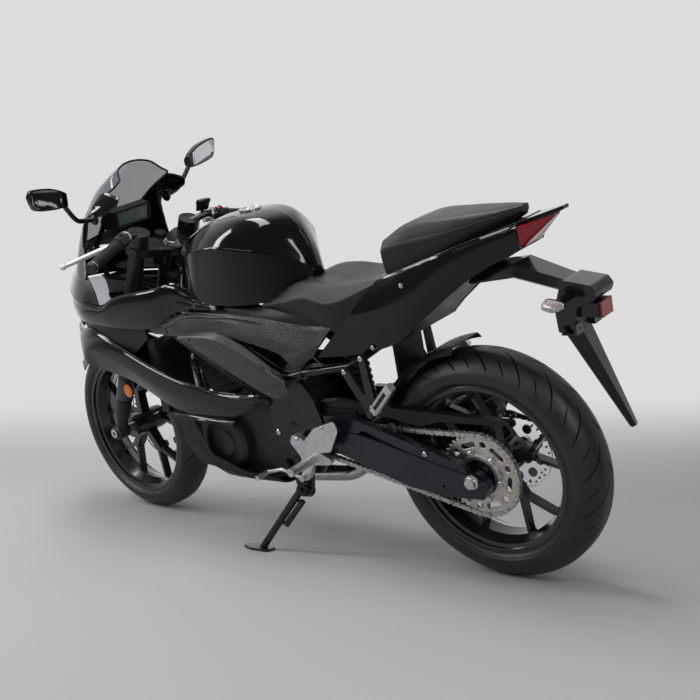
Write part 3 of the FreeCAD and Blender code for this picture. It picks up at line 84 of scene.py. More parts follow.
joints = {j["name"]: j for j in record["behaviour"]["joints"]}
rear_axle = Vector(joints["rear_wheel_spin"]["pos_m"])
leftward = Vector(joints["rear_wheel_spin"]["axis"]).normalized()
rake = math.radians(RAKE)
head = Vector((WHEELBASE + TRAIL - math.sin(rake) * HEAD_STATION, 0, math.cos(rake) * HEAD_STATION))
reach = (Vector(joints["steering_turn"]["pos_m"]) - rear_axle).normalized()
across = reach.cross(leftward)
slope = math.atan2(head.z - REAR_RADIUS, head.x)
forward = reach * math.cos(slope) - across * math.sin(slope)
upward = reach * math.sin(slope) + across * math.cos(slope)
turn = Matrix((forward, leftward, upward)).transposed().to_4x4()
BIKE = Matrix.Translation(rear_axle) @ turn @ Matrix.Scale(MM, 4) @ Matrix.Translation(
    (0, 0, -REAR_RADIUS))
foot = Vector((WHEELBASE + TRAIL, 0, 0))
steer_axis = Vector((-math.sin(rake), 0, math.cos(rake)))
steer = Matrix.Rotation(math.radians(PARKED_STEER), 4, steer_axis)
FRONT = BIKE @ Matrix.Translation(foot) @ steer @ Matrix.Translation(-foot)
FORK_AHEAD = Vector((math.cos(rake), 0, math.sin(rake)))
front_axle = Vector((WHEELBASE, 0, FRONT_RADIUS))
rear_hub = Vector((0, 0, REAR_RADIUS))


def fork_point(s, n, y):
    """Point s up the steering axis, n ahead of it and y to the left."""
    return foot + steer_axis * s + FORK_AHEAD * n + Vector((0, y, 0))


gap = (FRONT @ front_axle - Vector(joints["front_wheel_spin"]["pos_m"])).length
print("front axle found within", round(gap * 1000, 3), "mm")

# %% [markdown]
# ## Camera
#
# The view is from behind the rider's left shoulder, a little above the axles. A long
# lens keeps the wheels round. The camera is placed from the rear wheel, so it stays
# true if the whole machine is moved.

# %% Camera
CAMERA_FROM_REAR = Vector((-1.62707, 2.57609, 0.0))
CAMERA_HEIGHT = 0.87933
YAW, PITCH, ROLL = math.radians(-50.559), math.radians(-5.319), math.radians(-0.597)
gaze = Vector((math.cos(PITCH) * math.cos(YAW), math.cos(PITCH) * math.sin(YAW), math.sin(PITCH)))
level_right = gaze.cross(Vector((0, 0, 1))).normalized()
level_up = level_right.cross(gaze)
right = level_right * math.cos(ROLL) + level_up * math.sin(ROLL)
up = level_up * math.cos(ROLL) - level_right * math.sin(ROLL)
lens = bpy.data.cameras.new("view_camera")
lens.sensor_width = 36.0
lens.lens = 61.29
camera = bpy.data.objects.new("view_camera", lens)
bpy.context.scene.collection.objects.link(camera)
place = Matrix((right, up, -gaze)).transposed().to_4x4()
place.translation = Vector((rear_axle.x, rear_axle.y, 0)) + CAMERA_FROM_REAR
place.translation += Vector((0, 0, CAMERA_HEIGHT))
camera.matrix_world = place
bpy.context.scene.camera = camera
print("camera at", [round(c, 3) for c in place.translation])

# %% [markdown]
# ## Finishes
#
# A finish is two close tones mixed by noise, a roughness that wanders with the same
# noise, and a fine bump at the scale of the real grain. One helper builds that base,
# and each finish then adds its own: clear coat, metal, see-through or moulded cells.

# %% Finish helper
GRAIN_DEPTH = 0.0005  # metres
finishes = {}


def set_inputs(node, values):
    """Sets a node's inputs by their names."""
    for label, value in values.items():
        node.inputs[label].default_value = value
    return node


def added(tree, kind, values):
    """New node with its inputs set."""
    return set_inputs(tree.nodes.new("ShaderNode" + kind), values)


def finish(name, tones, rough, scale=40.0, grain=900.0, relief=0.02, metal=0.0, coat=0.0,
           shine=0.5):
    """Material with mottled colour, wandering roughness and fine grain."""
    mat = bpy.data.materials.new(name)
    mat.use_nodes = True
    tree = mat.node_tree
    shader = tree.nodes["Principled BSDF"]
    where = tree.nodes.new("ShaderNodeTexCoord")
    cloud = added(tree, "TexNoise", {"Scale": scale, "Detail": 5.0})
    tree.links.new(where.outputs["Object"], cloud.inputs["Vector"])
    colour = tree.nodes.new("ShaderNodeValToRGB")
    colour.color_ramp.elements[0].position = 0.35
    colour.color_ramp.elements[1].position = 0.68
    colour.color_ramp.elements[0].color = (*tones[0], 1)
    colour.color_ramp.elements[1].color = (*tones[1], 1)
    tree.links.new(cloud.outputs["Fac"], colour.inputs["Fac"])
    tree.links.new(colour.outputs["Color"], shader.inputs["Base Color"])
    spread = added(tree, "MapRange", {"From Min": 0.3, "From Max": 0.7, "To Min": rough[0],
                                      "To Max": rough[1]})
    tree.links.new(cloud.outputs["Fac"], spread.inputs["Value"])
    tree.links.new(spread.outputs["Result"], shader.inputs["Roughness"])
    speck = added(tree, "TexNoise", {"Scale": grain, "Detail": 2.0})
    tree.links.new(where.outputs["Object"], speck.inputs["Vector"])
    press = added(tree, "Bump", {"Strength": relief, "Distance": GRAIN_DEPTH})
    tree.links.new(speck.outputs["Fac"], press.inputs["Height"])
    tree.links.new(press.outputs["Normal"], shader.inputs["Normal"])
    set_inputs(shader, {"Metallic": metal, "Coat Weight": coat, "Coat Roughness": 0.03,
                        "Coat IOR": 1.35, "Specular IOR Level": shine})
    finishes[name] = mat
    return mat


def parts_of(mat):
    """The tree, shader, bump and texture-coordinate nodes of a finish."""
    tree = mat.node_tree
    kinds = {node.bl_idname: node for node in tree.nodes}
    return [tree] + [kinds["ShaderNode" + kind] for kind in ("BsdfPrincipled", "Bump", "TexCoord")]


print("finish helper ready")

# %% [markdown]
# ## One finish for each material of the machine
#
# The paint is near black under clear coat. Plastics are matte and a shade lighter, cast and forged
# metals carry a coarse grain, and turned metals stay bright. The disc steel alone is toned far
# darker than bare steel: painted shade, for discs that sit in shadow.

# %% Plain finishes
finish("gloss_black", ((0.002, 0.002, 0.003), (0.004, 0.004, 0.005)), (0.10, 0.16), 6, 1500, 0.01,
       coat=1.0, shine=0.1)
finish("satin_grey", ((0.060, 0.060, 0.064), (0.080, 0.080, 0.085)), (0.36, 0.46), 30, 1800, 0.04,
       metal=0.55)
finish("matte_black", ((0.004, 0.004, 0.005), (0.008, 0.008, 0.009)), (0.34, 0.48), 30, 1400, 0.12,
       shine=0.3)
finish("frame_black", ((0.030, 0.031, 0.034), (0.042, 0.043, 0.047)), (0.20, 0.30), 25, 900, 0.05,
       metal=0.8, coat=0.2)
finish("swingarm_black", ((0.006, 0.007, 0.012), (0.010, 0.011, 0.018)), (0.22, 0.34), 18, 900,
       0.05, coat=0.5, shine=0.3)
finish("engine_black", ((0.016, 0.016, 0.018), (0.030, 0.030, 0.032)), (0.38, 0.55), 22, 500, 0.2,
       metal=0.4)
finish("alloy_black", ((0.008, 0.008, 0.009), (0.014, 0.014, 0.016)), (0.16, 0.26), 20, 900, 0.04,
       coat=0.6)
finish("bare_aluminium", ((0.52, 0.52, 0.53), (0.66, 0.66, 0.67)), (0.28, 0.42), 60, 700, 0.12,
       metal=1.0)
finish("bright_steel", ((0.50, 0.50, 0.51), (0.62, 0.62, 0.63)), (0.18, 0.30), 50, 900, 0.05,
       metal=1.0)
# Painted shade: disc_steel's tones are much darker than bare steel, so the discs read as lying in
# shadow.
finish("disc_steel", ((0.10, 0.10, 0.105), (0.16, 0.16, 0.165)), (0.22, 0.36), 70, 1600, 0.10,
       metal=1.0)
finish("sprocket_steel", ((0.46, 0.43, 0.36), (0.66, 0.64, 0.58)), (0.26, 0.42), 45, 800, 0.10,
       metal=1.0)
finish("chain_steel", ((0.34, 0.33, 0.32), (0.66, 0.65, 0.62)), (0.22, 0.40), 120, 900, 0.12,
       metal=1.0)
finish("tyre_rubber", ((0.009, 0.009, 0.010), (0.017, 0.017, 0.018)), (0.36, 0.50), 14, 1300, 0.15)
finish("grip_rubber", ((0.007, 0.007, 0.008), (0.013, 0.013, 0.014)), (0.50, 0.66), 40, 1300, 0.25,
       shine=0.3)
print("plain finishes:", len(finishes))

# %% [markdown]
# ## Embossed plastic and seat cover
#
# The knee panels carry a moulded scale pattern, so that riding boots don't slip. Such
# shallow cells could be modelled, but they change no outline, so a cell texture feeds
# a bump node instead. The seat cover has the same texture at the size of a fine grain.

# %% Finishes with moulded cells


def cells(mat, scale, strength, depth, stretch=(1, 1, 1), turned=(0, 0, 0), mess=1.0):
    """Adds a moulded or pebbled cell pattern to a finish's bump."""
    tree, shader, press, where = parts_of(mat)
    sizes = added(tree, "Mapping", {"Scale": stretch, "Rotation": turned})
    cell = tree.nodes.new("ShaderNodeTexVoronoi")
    cell.feature = "DISTANCE_TO_EDGE"
    set_inputs(cell, {"Scale": scale, "Randomness": mess})
    edge = added(tree, "MapRange", {"From Max": 0.18})
    second = added(tree, "Bump", {"Strength": strength, "Distance": depth})
    tree.links.new(where.outputs["Object"], sizes.inputs["Vector"])
    tree.links.new(sizes.outputs["Vector"], cell.inputs["Vector"])
    tree.links.new(cell.outputs["Distance"], edge.inputs["Value"])
    tree.links.new(edge.outputs["Result"], second.inputs["Height"])
    tree.links.new(press.outputs["Normal"], second.inputs["Normal"])
    tree.links.new(second.outputs["Normal"], shader.inputs["Normal"])
    return mat


cells(finish("textured_grey", ((0.045, 0.045, 0.048), (0.060, 0.060, 0.064)), (0.32, 0.44), 20,
             1500, 0.05), 105.0, 1.0, 0.003, (1.0, 0.3, 1.5), (0.0, 0.55, 0.0), 0.0)
cells(finish("seat_cover", ((0.006, 0.006, 0.007), (0.011, 0.011, 0.012)), (0.30, 0.40), 12, 900,
             0.08, shine=0.4), 620.0, 0.35, 0.0004)
print("celled finishes:", 2)

# %% [markdown]
# ## Lamps, screen and glossy plastic
#
# Lamp covers let light through and bend it a little, as acrylic does. The smoked screen
# is a thin sheet, so plain see-through does for it and keeps what lies behind sharp.
# The red tail lens is too deep in colour to see into, so it is solid red under gloss.

# %% Clear and glossy plastics
ACRYLIC_IOR = 1.49


def clear_plastic(name, tone, rough, see_through, alpha=1.0):
    """Clear or tinted plastic: see_through bends the light, alpha below 1 doesn't."""
    mat = finish(name, (tone, tuple(0.92 * c for c in tone)), (rough, rough * 1.4), 8, 900, 0.01,
                 coat=0.5)
    set_inputs(
        parts_of(mat)[1], {"Transmission Weight": see_through, "IOR": ACRYLIC_IOR, "Alpha": alpha})
    return mat


clear_plastic("screen_smoke", (0.10, 0.13, 0.16), 0.04, 0.0, 0.45)
clear_plastic("lamp_clear", (0.85, 0.87, 0.9), 0.06, 0.75)
clear_plastic("tail_red", (0.26, 0.005, 0.009), 0.22, 0.0)
finish("holder_plastic", ((0.004, 0.004, 0.005), (0.007, 0.007, 0.008)), (0.16, 0.26), 25, 1400,
       0.03, coat=0.7, shine=0.3)
print("finishes:", len(finishes))

# %% [markdown]
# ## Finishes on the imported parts
#
# The record names a material for every part, and most names have their finish here, so
# one loop dresses them all. The plate holder alone is of a shinier plastic.

# %% Finishes on parts
for row in record["subparts"]:
    part = frame["nodes"][row["node"]]
    for slot in part.material_slots:
        slot.material = finishes[
            "holder_plastic" if row["node"] == "plate_holder" else row["material_slot"]]
print("finishes on", len(record["subparts"]), "parts")

# %% [markdown]
# ## Broken edges
#
# No cast or moulded edge is knife sharp. A bevel modifier rounds the edges that turn
# sharply, and hardened normals keep the flats flat, so each edge shows as a thin bright
# line. The part's own mesh stays as it is under the modifier.

# %% Broken edges on castings and mouldings
EDGE_ROUND, EDGE_TURN = 1.4 * MM, math.radians(35)
for name in ("swingarm_left", "swingarm_right", "chain_guard", "plate_holder", "frame_left",
             "frame_right", "footrests", "passenger_footrests", "side_stand", "front_fender",
             "steering_clamps", "front_rim", "rear_rim"):
    edge = frame["nodes"][name].modifiers.new("rounded", "BEVEL")
    edge.limit_method = "ANGLE"
    edge.angle_limit = EDGE_TURN
    edge.width = EDGE_ROUND
    edge.segments = 2
    edge.harden_normals = True
print("edges broken")

# %% [markdown]
# ## Tools for skins
#
# A panel is described the way a clay modeller would template it: a short table of
# rows, each a section line in side view and how far the skin stands out along it.
# A smooth curve through the rows and through the marks gives the surface, and the
# wall is laid inside it. Working from the same few rows as the solids keeps the skin
# on its part.

# %% Curves, grids and walls


def flow(rows, steps):
    """Rows of numbers with a smooth curve drawn through each column."""
    rows = [np.array(r, float) for r in rows]
    out = []
    for i in range(len(rows) - 1):
        a = rows[max(i - 1, 0)]
        b, c = rows[i], rows[i + 1]
        d = rows[min(i + 2, len(rows) - 1)]
        if i == 0:
            a = 2 * b - c
        if i + 2 > len(rows) - 1:
            d = 2 * c - b
        for k in range(steps):
            t = k / steps
            out.append(0.5 * (2 * b + (c - a) * t + (2 * a - 5 * b + 4 * c - d) * t * t
                              + (3 * b - a - 3 * c + d) * t ** 3))
    out.append(rows[-1])
    return out


def grid_of(rows, marks, along, down, swell=1.5, lip=0.0):
    """Skin points: rows flow along the panel, and faces swell slightly between creases.

    A lip turns the top edge in."""
    grid = []
    for row in flow(rows, along):
        line = []
        pairs = list(zip(marks, row[4:]))
        if lip:
            (f0, y0), (f1, y1) = pairs[:2]
            share = min(0.45 * (f1 - f0), 11.0 / math.hypot(row[2] - row[0], row[3] - row[1]))
            pairs[0:1] = [(f0, y0 - lip), (f0 + share, y0 + (y1 - y0) * share / (f1 - f0))]
        for (f0, y0), (f1, y1) in zip(pairs, pairs[1:]):
            for k in range(down):
                t = k / down
                line.append((f0 + (f1 - f0) * t, y0 + (y1 - y0) * t + swell * 4 * t * (1 - t)))
        line.append((marks[-1], row[-1]))
        grid.append([Vector((row[0] + (row[2] - row[0]) * f, y, row[1] + (row[3] - row[1]) * f))
                     for f, y in line])
    return grid


def walled(grid, wall, core):
    """Points and faces of a shell with its wall laid towards a core point."""
    n, m = len(grid), len(grid[0])
    inner = []
    for i in range(n):
        line = []
        for j in range(m):
            du = grid[min(i + 1, n - 1)][j] - grid[max(i - 1, 0)][j]
            dv = grid[i][min(j + 1, m - 1)] - grid[i][max(j - 1, 0)]
            normal = du.cross(dv)
            if normal.length < 1e-6:
                normal = grid[i][j] - core(grid[i][j])
            normal.normalize()
            if normal.dot(grid[i][j] - core(grid[i][j])) < 0:
                normal = -normal
            line.append(grid[i][j] - normal * wall)
        inner.append(line)
    points = [p for line in grid for p in line] + [p for line in inner for p in line]
    half = n * m
    faces = []
    for i in range(n - 1):
        for j in range(m - 1):
            a, b = i * m + j, (i + 1) * m + j
            faces.append((a, b, b + 1, a + 1))
            faces.append((a + half, a + 1 + half, b + 1 + half, b + half))
    rim = [(i, 0) for i in range(n)] + [(n - 1, j) for j in range(1, m)]
    rim += [(i, m - 1) for i in range(n - 2, -1, -1)] + [(0, j) for j in range(m - 2, 0, -1)]
    for (i, j), (k, l) in zip(rim, rim[1:] + rim[:1]):
        a, b = i * m + j, k * m + l
        faces.append((a, b, b + half, a + half))
    return points, faces


def mirror(points, faces):
    """The same shell on both sides of the machine."""
    count = len(points)
    points = points + [Vector((p.x, -p.y, p.z)) for p in points]
    return points, faces + [tuple(i + count for i in reversed(f)) for f in faces]


print("skin tools ready")

# %% [markdown]
# ## From a shape to a piece
#
# Every shape is drawn upright in millimetres, and one matrix puts it in its parked
# place. Creases are found by their angle and marked, and a bevel that reads the marks
# rounds them and leaves the smooth faces alone. The piece then gets its finish and
# rides on the body that carries it.

# %% Making a piece


def rounded(obj, width, steps=3):
    """Rounds marked edges, so that they catch the light as a moulded or cast edge does."""
    round_off = obj.modifiers.new("rounded", "BEVEL")
    round_off.limit_method = "WEIGHT"
    round_off.width = width * MM
    round_off.segments = steps
    round_off.use_clamp_overlap = False
    round_off.harden_normals = True


def piece(name, points, faces, body, material, home=None, sharp=40.0, smooth=True, slot=None,
          soft=0.0):
    """Closed mesh in the parked position, riding on a body.

    soft is the round of its creases in millimetres."""
    home = home or BIKE
    mesh = bpy.data.meshes.new(name)
    mesh.from_pydata([home @ Vector(p) for p in points], [], faces)
    tool = bmesh.new()
    tool.from_mesh(mesh)
    bmesh.ops.recalc_face_normals(tool, faces=tool.faces)
    if soft:
        mark = tool.edges.layers.float.new("bevel_weight_edge")
        for edge in tool.edges:
            bend = math.degrees(edge.calc_face_angle(0.0))
            edge[mark] = 0.35 if bend > 60 else 1.0 if bend > sharp else 0.0
    tool.to_mesh(mesh)
    tool.free()
    if smooth:
        mesh.shade_smooth()
        mesh.set_sharp_from_angle(angle=math.radians(180 if soft else sharp))
    obj = bpy.data.objects.new(name, mesh)
    bpy.context.scene.collection.objects.link(obj)
    if soft:
        rounded(obj, soft)
    mesh.materials.append(finishes[material])
    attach(obj, body)
    return obj


def gather(*shapes):
    """Several (points, faces) shapes as one."""
    points, faces = [], []
    for some, loops in shapes:
        base = len(points)
        points += [Vector(p) for p in some]
        faces += [tuple(i + base for i in f) for f in loops]
    return points, faces


print("piece maker ready")

# %% [markdown]
# ## Painted bodywork
#
# The fairing is moulded in several shells that are bolted edge to edge. Each one is a
# thin curved panel, so a smooth sheet with a real wall is the right model for it. The
# rows below are top and low point of a section in side view, then half widths.

# %% Side fairing
SIDE = [
    (1490, 781, 1490, 700, 62, 70, 66), (1420, 775, 1420, 690, 124, 132, 124),
    (1330, 768, 1330, 696, 168, 176, 166), (1222, 759, 1224, 690, 188, 191, 180),
    (1150, 786, 1150, 689, 190, 194, 184), (1050, 803, 1050, 690, 188, 194, 186),
    (975, 814, 980, 700, 182, 190, 186), (900, 829, 915, 738, 172, 180, 182),
    (800, 790, 835, 755, 174, 176, 178), (724, 764, 730, 758, 174, 175, 176),
]
LOWER = [
    (1488, 662, 1452, 608, 80, 95, 86), (1400, 664, 1376, 569, 138, 162, 174),
    (1310, 674, 1292, 552, 168, 186, 182), (1180, 632, 1140, 518, 192, 199, 186),
    (1030, 578, 985, 452, 203, 206, 190), (900, 541, 850, 424, 205, 202, 182),
    (762, 517, 736, 444, 198, 196, 182), (628, 520, 622, 500, 188, 189, 187),
]
FIN = [(1000, 436, 985, 408, 184, 190, 162), (850, 432, 850, 408, 188, 195, 168),
       (750, 428, 752, 410, 184, 189, 172)]
KNEE = [
    (1020, 696, 1008, 679, 182, 184, 184), (880, 740, 894, 674, 177, 186, 182),
    (746, 744, 762, 688, 172, 182, 178), (683, 744, 670, 672, 168, 180, 176),
    (560, 729, 545, 640, 162, 176, 170), (450, 714, 500, 598, 152, 166, 156),
    (356, 712, 434, 626, 140, 152, 148),
]
WING = [
    (905, 680, 888, 660, 180, 190, 194, 188), (762, 695, 762, 606, 178, 199, 205, 194),
    (680, 668, 662, 553, 176, 195, 201, 190), (598, 616, 578, 510, 172, 186, 191, 180),
    (530, 560, 518, 526, 168, 177, 180, 172),
]
HALVES = (0.0, 0.5, 1.0)


def centre_plane(p):
    """The machine's middle plane, beside a point."""
    return Vector((p.x, 0, p.z))


def side_skin(name, rows, marks, node, material, lip=8.0, others=()):
    """A moulded panel on each side of the machine, standing for its solid."""
    shapes = []
    for r, m in ((rows, marks), *others):
        shapes.append(mirror(*walled(grid_of(r, m, 6, 4, lip=lip), 3.0, centre_plane)))
    skin = piece(name, *gather(*shapes), "chassis", material, sharp=8, soft=3.5)
    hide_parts(node)


side_skin("side_fairing", SIDE, HALVES, "side_cowls", "gloss_black")
side_skin("lower_fairing", LOWER, HALVES, "lower_cowls", "gloss_black", others=((FIN, HALVES),))
side_skin("knee_covers", KNEE, HALVES, "knee_panels", "textured_grey")
side_skin("wing_covers", WING, (0.0, 0.14, 0.55, 1.0), "wing_panels", "satin_grey", lip=0.0)
print("side panels:", 5)

# %% [markdown]
# ## Nose
#
# The nose is one band bent round the front of the machine, with two horns that rise
# beside the screen and end behind it. The band's left half is drawn and carried over
# the middle as one sheet, so no seam shows at the front.

# %% Nose cowl with its horns
NOSE = [
    (1532, 786, 1222, 760, 14, 66, 118, 168, 188), (1502, 834, 1232, 802, 12, 58, 106, 158, 184),
    (1446, 884, 1264, 852, 12, 46, 88, 140, 174),
]
HORN = [
    (1410, 898, 1404, 862, 60, 70, 84), (1338, 962, 1338, 852, 100, 128, 150),
    (1264, 1026, 1264, 842, 120, 152, 178), (1210, 1060, 1236, 1006, 126, 140, 158),
    (1150, 1088, 1156, 1022, 128, 138, 146), (1080, 1074, 1094, 1046, 132, 138, 138),
]


def inside_nose(p):
    """A point inside the nose, towards which its wall is laid."""
    return Vector((min(p.x, 1300), 0, p.z - 60))


nose_grid = []
for row in flow(NOSE, 5):
    line = flow([(f, y) for f, y in zip((0.0, 0.12, 0.3, 0.6, 1.0), row[4:])], 5)
    nose_grid.append([Vector((row[0] + (row[2] - row[0]) * f, y, row[1] + (row[3] - row[1]) * f))
                      for f, y in line])
round_front = [[Vector((p.x, -p.y, p.z)) for p in reversed(line)] + line for line in nose_grid]
horns = mirror(*walled(grid_of(HORN, HALVES, 6, 5), 4.0, centre_plane))
nose = piece("nose_band", *gather(walled(round_front, 3.0, inside_nose), horns), "chassis",
             "gloss_black", sharp=12, soft=3.0)
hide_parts("nose_cowl")
print("nose rows:", len(nose_grid))

# %% [markdown]
# ## Screen
#
# The screen is a smoked bubble: each section is a half oval that leans further back as
# it climbs. A dark border runs round it. It is a round tube drawn along the edge of the
# same grid, so it can't part from the screen.

# %% Screen and its border


def hose(points, radius, steps=6, sides=12):
    """Round tube along a smooth curve through points."""
    line = [Vector(p) for p in flow(points, steps)]
    rings = []
    normal = None
    for i, p in enumerate(line):
        way = (line[min(i + 1, len(line) - 1)] - line[max(i - 1, 0)]).normalized()
        normal = way.orthogonal() if normal is None else normal - way * normal.dot(way)
        normal = normal.normalized()
        other = way.cross(normal)
        rings.append(
            [p + (normal * math.cos(2 * math.pi * k / sides)
                  + other * math.sin(2 * math.pi * k / sides)) * radius for k in range(sides)])
    points = [p for ring in rings for p in ring]
    faces = []
    for i in range(len(rings) - 1):
        for k in range(sides):
            q = (k + 1) % sides
            faces.append((i * sides + k, i * sides + q, (i + 1) * sides + q, (i + 1) * sides + k))
    faces.append(tuple(range(sides)))
    faces.append(tuple(reversed(range(len(points) - sides, len(points)))))
    return points, faces


SCREEN = [
    (1440, 889, 1402, 898, 52), (1384, 958, 1334, 960, 91), (1312, 1040, 1260, 1022, 111),
    (1236, 1106, 1204, 1058, 117), (1172, 1146, 1130, 1092, 112), (1154, 1153, 1120, 1112, 84),
]
screen_grid = []
HALF_OVAL = ((0.0, 0.0), (0.05, 0.3), (0.12, 0.46), (0.26, 0.67), (0.45, 0.82), (1.0, 1.0))
for cx, cz, ex, ez, hw in flow(SCREEN, 6):
    half = [(f, hw * w) for f, w in flow(HALF_OVAL, 4)]
    line = [Vector((cx + (ex - cx) * f, y, cz + (ez - cz) * f)) for f, y in half]
    screen_grid.append([Vector((p.x, -p.y, p.z)) for p in line[:0:-1]] + line)
sheet = walled(screen_grid, 3.0, lambda p: Vector((p.x - 120, 0, p.z - 120)))
screen = piece("smoked_screen", *sheet, "chassis", "screen_smoke", sharp=60)
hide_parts("windscreen")
border = [line[-1] for line in screen_grid] + screen_grid[-1][-2:0:-1]
border += [line[0] for line in reversed(screen_grid)]
piece("screen_border", *hose(border, 3.2, 1, 8), "chassis", "matte_black")
print("screen rows:", len(screen_grid))

# %% [markdown]
# ## Tail
#
# The tail cowl is a saddle: each section goes over the top from side to side, thin and
# sharp, rising towards the rear lamp. A visor carries its top line out over the lamp,
# and a matte floor closes it from below.

# %% Tail cowl


def rings_solid(rings):
    """Closed solid through closed rings of equal count, capped at both ends."""
    m = len(rings[0])
    points = [Vector(p) for ring in rings for p in ring]
    faces = []
    for i in range(len(rings) - 1):
        for j in range(m):
            q = (j + 1) % m
            faces.append((i * m + j, i * m + q, (i + 1) * m + q, (i + 1) * m + j))
    for first, order in ((0, 1), ((len(rings) - 1) * m, -1)):
        centre = len(points)
        points.append(sum((points[first + j] for j in range(m)), Vector()) / m)
        for j in range(m):
            faces.append((first + j, first + (j + 1) % m, centre)[::order])
    return points, faces


TAIL = [
    (208, 834, 428, 622, 104, 130, 140), (140, 857, 292, 636, 104, 129, 130),
    (65, 882, 166, 670, 101, 123, 120), (0, 903, 91, 726, 98, 114, 106),
    (-90, 932, -45, 824, 84, 94, 78), (-186, 960, -186, 893, 60, 66, 54),
]
tail_grid = []
for line in grid_of(TAIL, (0.0, 0.45, 1.0), 6, 6, lip=7.0):
    over = [Vector((line[0].x, line[0].y * t, line[0].z)) for t in (0.0, 0.5)] + line
    tail_grid.append([Vector((p.x, -p.y, p.z)) for p in over[:0:-1]] + over)


def strip(sections, wall):
    """Flat floor through (x, half width, z) sections."""
    grid = [[Vector((x, w * t, z)) for t in (-1, -0.5, 0, 0.5, 1)] for x, w, z in sections]
    return walled(grid, wall, lambda p: p + Vector((0, 0, 10)))


floor_shape = strip(
    flow(((150, 122, 676), (95, 103, 726), (-43, 75, 826), (-180, 51, 896)), 4), 3.0)
visor_rings = []
for x, w, top, deep in (
        (-178, 59, 956, 5), (-232, 37, 970, 10), (-270, 20, 980, 11), (-285, 13, 984, 9)):
    ring = ((-w, top - deep), (w, top - deep), (w + 1, top - 3), (w - 2, top), (-w + 2, top),
            (-w - 1, top - 3))
    visor_rings.append([Vector((x, y, z)) for y, z in ring])
saddle = walled(tail_grid, 3.0, lambda p: Vector((p.x + 30, 0, p.z - 40)))
tail = piece("tail_fairing", *gather(saddle, rings_solid(visor_rings)), "chassis", "gloss_black",
             sharp=8, soft=3.0)
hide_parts("tail_cowl")
piece("tail_floor", *floor_shape, "chassis", "matte_black", sharp=30)
print("tail rows:", len(tail_grid))

# %% [markdown]
# ## Fuel tank
#
# The tank swells out above the rider's knees and narrows to the seat. Sections run
# across the machine from edge to edge, and a soft shoulder line runs along its side.
# The cap is turned about its axis, as on a lathe.

# %% Fuel tank and cap


def spun(profile, centre, axis, steps=48, closed=True):
    """Ring turned from (along, radius) pairs about an axis."""
    axis = Vector(axis).normalized()
    side = axis.orthogonal().normalized()
    other = axis.cross(side)
    centre = Vector(centre)
    count = len(profile)
    points = []
    for k in range(steps):
        a = 2 * math.pi * k / steps
        out = side * math.cos(a) + other * math.sin(a)
        points += [centre + axis * s + out * r for s, r in profile]
    faces = []
    for k in range(steps):
        following = (k + 1) % steps
        for j in range(count if closed else count - 1):
            q = (j + 1) % count
            faces.append((k * count + j, k * count + q, following * count + q,
                          following * count + j))
    if not closed:
        faces.append(tuple(k * count for k in range(steps)))
        faces.append(tuple(k * count + count - 1 for k in reversed(range(steps))))
    return points, faces


TANK = [
    (975, 893, 34, 886, 70, 862, 74, 820), (900, 945, 62, 935, 118, 880, 132, 800),
    (800, 983, 84, 972, 160, 918, 172, 775), (690, 996, 88, 988, 168, 930, 172, 768),
    (610, 990, 74, 980, 142, 914, 150, 768), (556, 968, 44, 952, 88, 890, 104, 768),
    (514, 912, 20, 900, 44, 856, 62, 768), (492, 838, 12, 830, 22, 812, 42, 768),
]
rings = []
for x, rz, sy, sz, cy, cz, ly, lz in flow(TANK, 7):
    half = flow(((0, rz), (sy * 0.55, rz - (rz - sz) * 0.3), (sy, sz),
                 ((sy + cy) / 2 + 2, (sz + cz) / 2 + 5), (cy, cz)), 4)
    half = half + flow(((cy, cz), ((cy + ly) / 2 - 1, (cz + lz) / 2), (ly, lz)), 4)[1:]
    ring = [(y, z) for y, z in half] + [(-y, z) for y, z in half[:0:-1]]
    rings.append([Vector((x, y, z)) for y, z in ring])
tank = piece("painted_tank", *rings_solid(rings), "chassis", "gloss_black", sharp=11, soft=4.0)
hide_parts("fuel_tank")
TANK_TOP = 996
cap_rings = ((996, 33), (1000, 33), (1000, 27), (998.5, 26), (998.5, 12), (1000, 11), (1000, 0.5))
piece("fuel_cap", *spun([(z - TANK_TOP, r) for z, r in cap_rings], (700, 0, TANK_TOP), (0, 0, 1),
                        40, closed=False), "chassis", "bare_aluminium")
print("tank rings:", len(rings), "of", len(rings[0]), "points")

# %% [markdown]
# ## Inner trims
#
# Between the shells a real machine shows dark inner trims, not daylight: a duct panel
# behind the slit beside the lamps, a shelf under the screen, and a strip from the knee
# panel up to the seat. They are thin plain sheets set just inside the outer skins.

# %% Inner trims
DUCT = [(1482, 716, 1462, 636, 60, 64, 62), (1400, 712, 1390, 610, 116, 118, 116),
        (1310, 710, 1296, 600, 156, 160, 156), (1215, 704, 1206, 590, 174, 176, 172),
        (1130, 702, 1122, 610, 176, 178, 176), (1050, 704, 1044, 660, 178, 180, 178)]
SEAT_TRIM = [
    (768, 772, 768, 738, 160, 166, 168), (683, 772, 683, 738, 142, 158, 164),
    (600, 762, 600, 724, 132, 150, 158), (500, 750, 500, 712, 138, 146, 150),
    (420, 738, 420, 704, 136, 140, 144), (362, 722, 366, 700, 132, 134, 136)]
trim_shapes = [mirror(*walled(grid_of(rows, HALVES, 5, 3, 0.0), 2.5, centre_plane))
               for rows in (DUCT, SEAT_TRIM)]
piece("inner_trims", *gather(*trim_shapes), "chassis", "matte_black", sharp=30)
shelf = []
for x, w, z in flow(((1262, 117, 962), (1310, 106, 948), (1360, 88, 922), (1412, 60, 894)), 3):
    shelf.append([Vector((x, w * t, z - 10 * t * t)) for t in (-1, -0.7, -0.35, 0, 0.35, 0.7, 1)])
piece("cockpit_shelf", *walled(shelf, 2.5, lambda p: p - Vector((0, 0, 20))), "chassis",
      "matte_black", sharp=30)
print("trims:", 3)

# %% [markdown]
# ## Tyres
#
# A road tyre's tread is a rounded crown cut by grooves that start near the centre and
# sweep back to the shoulder, long and short in turn, and the other side half a pitch
# later. The grooves are real. The grid of the crown is sheared so that its lines run
# along them, and four lines of every pitch make the two lips and the two floor edges.

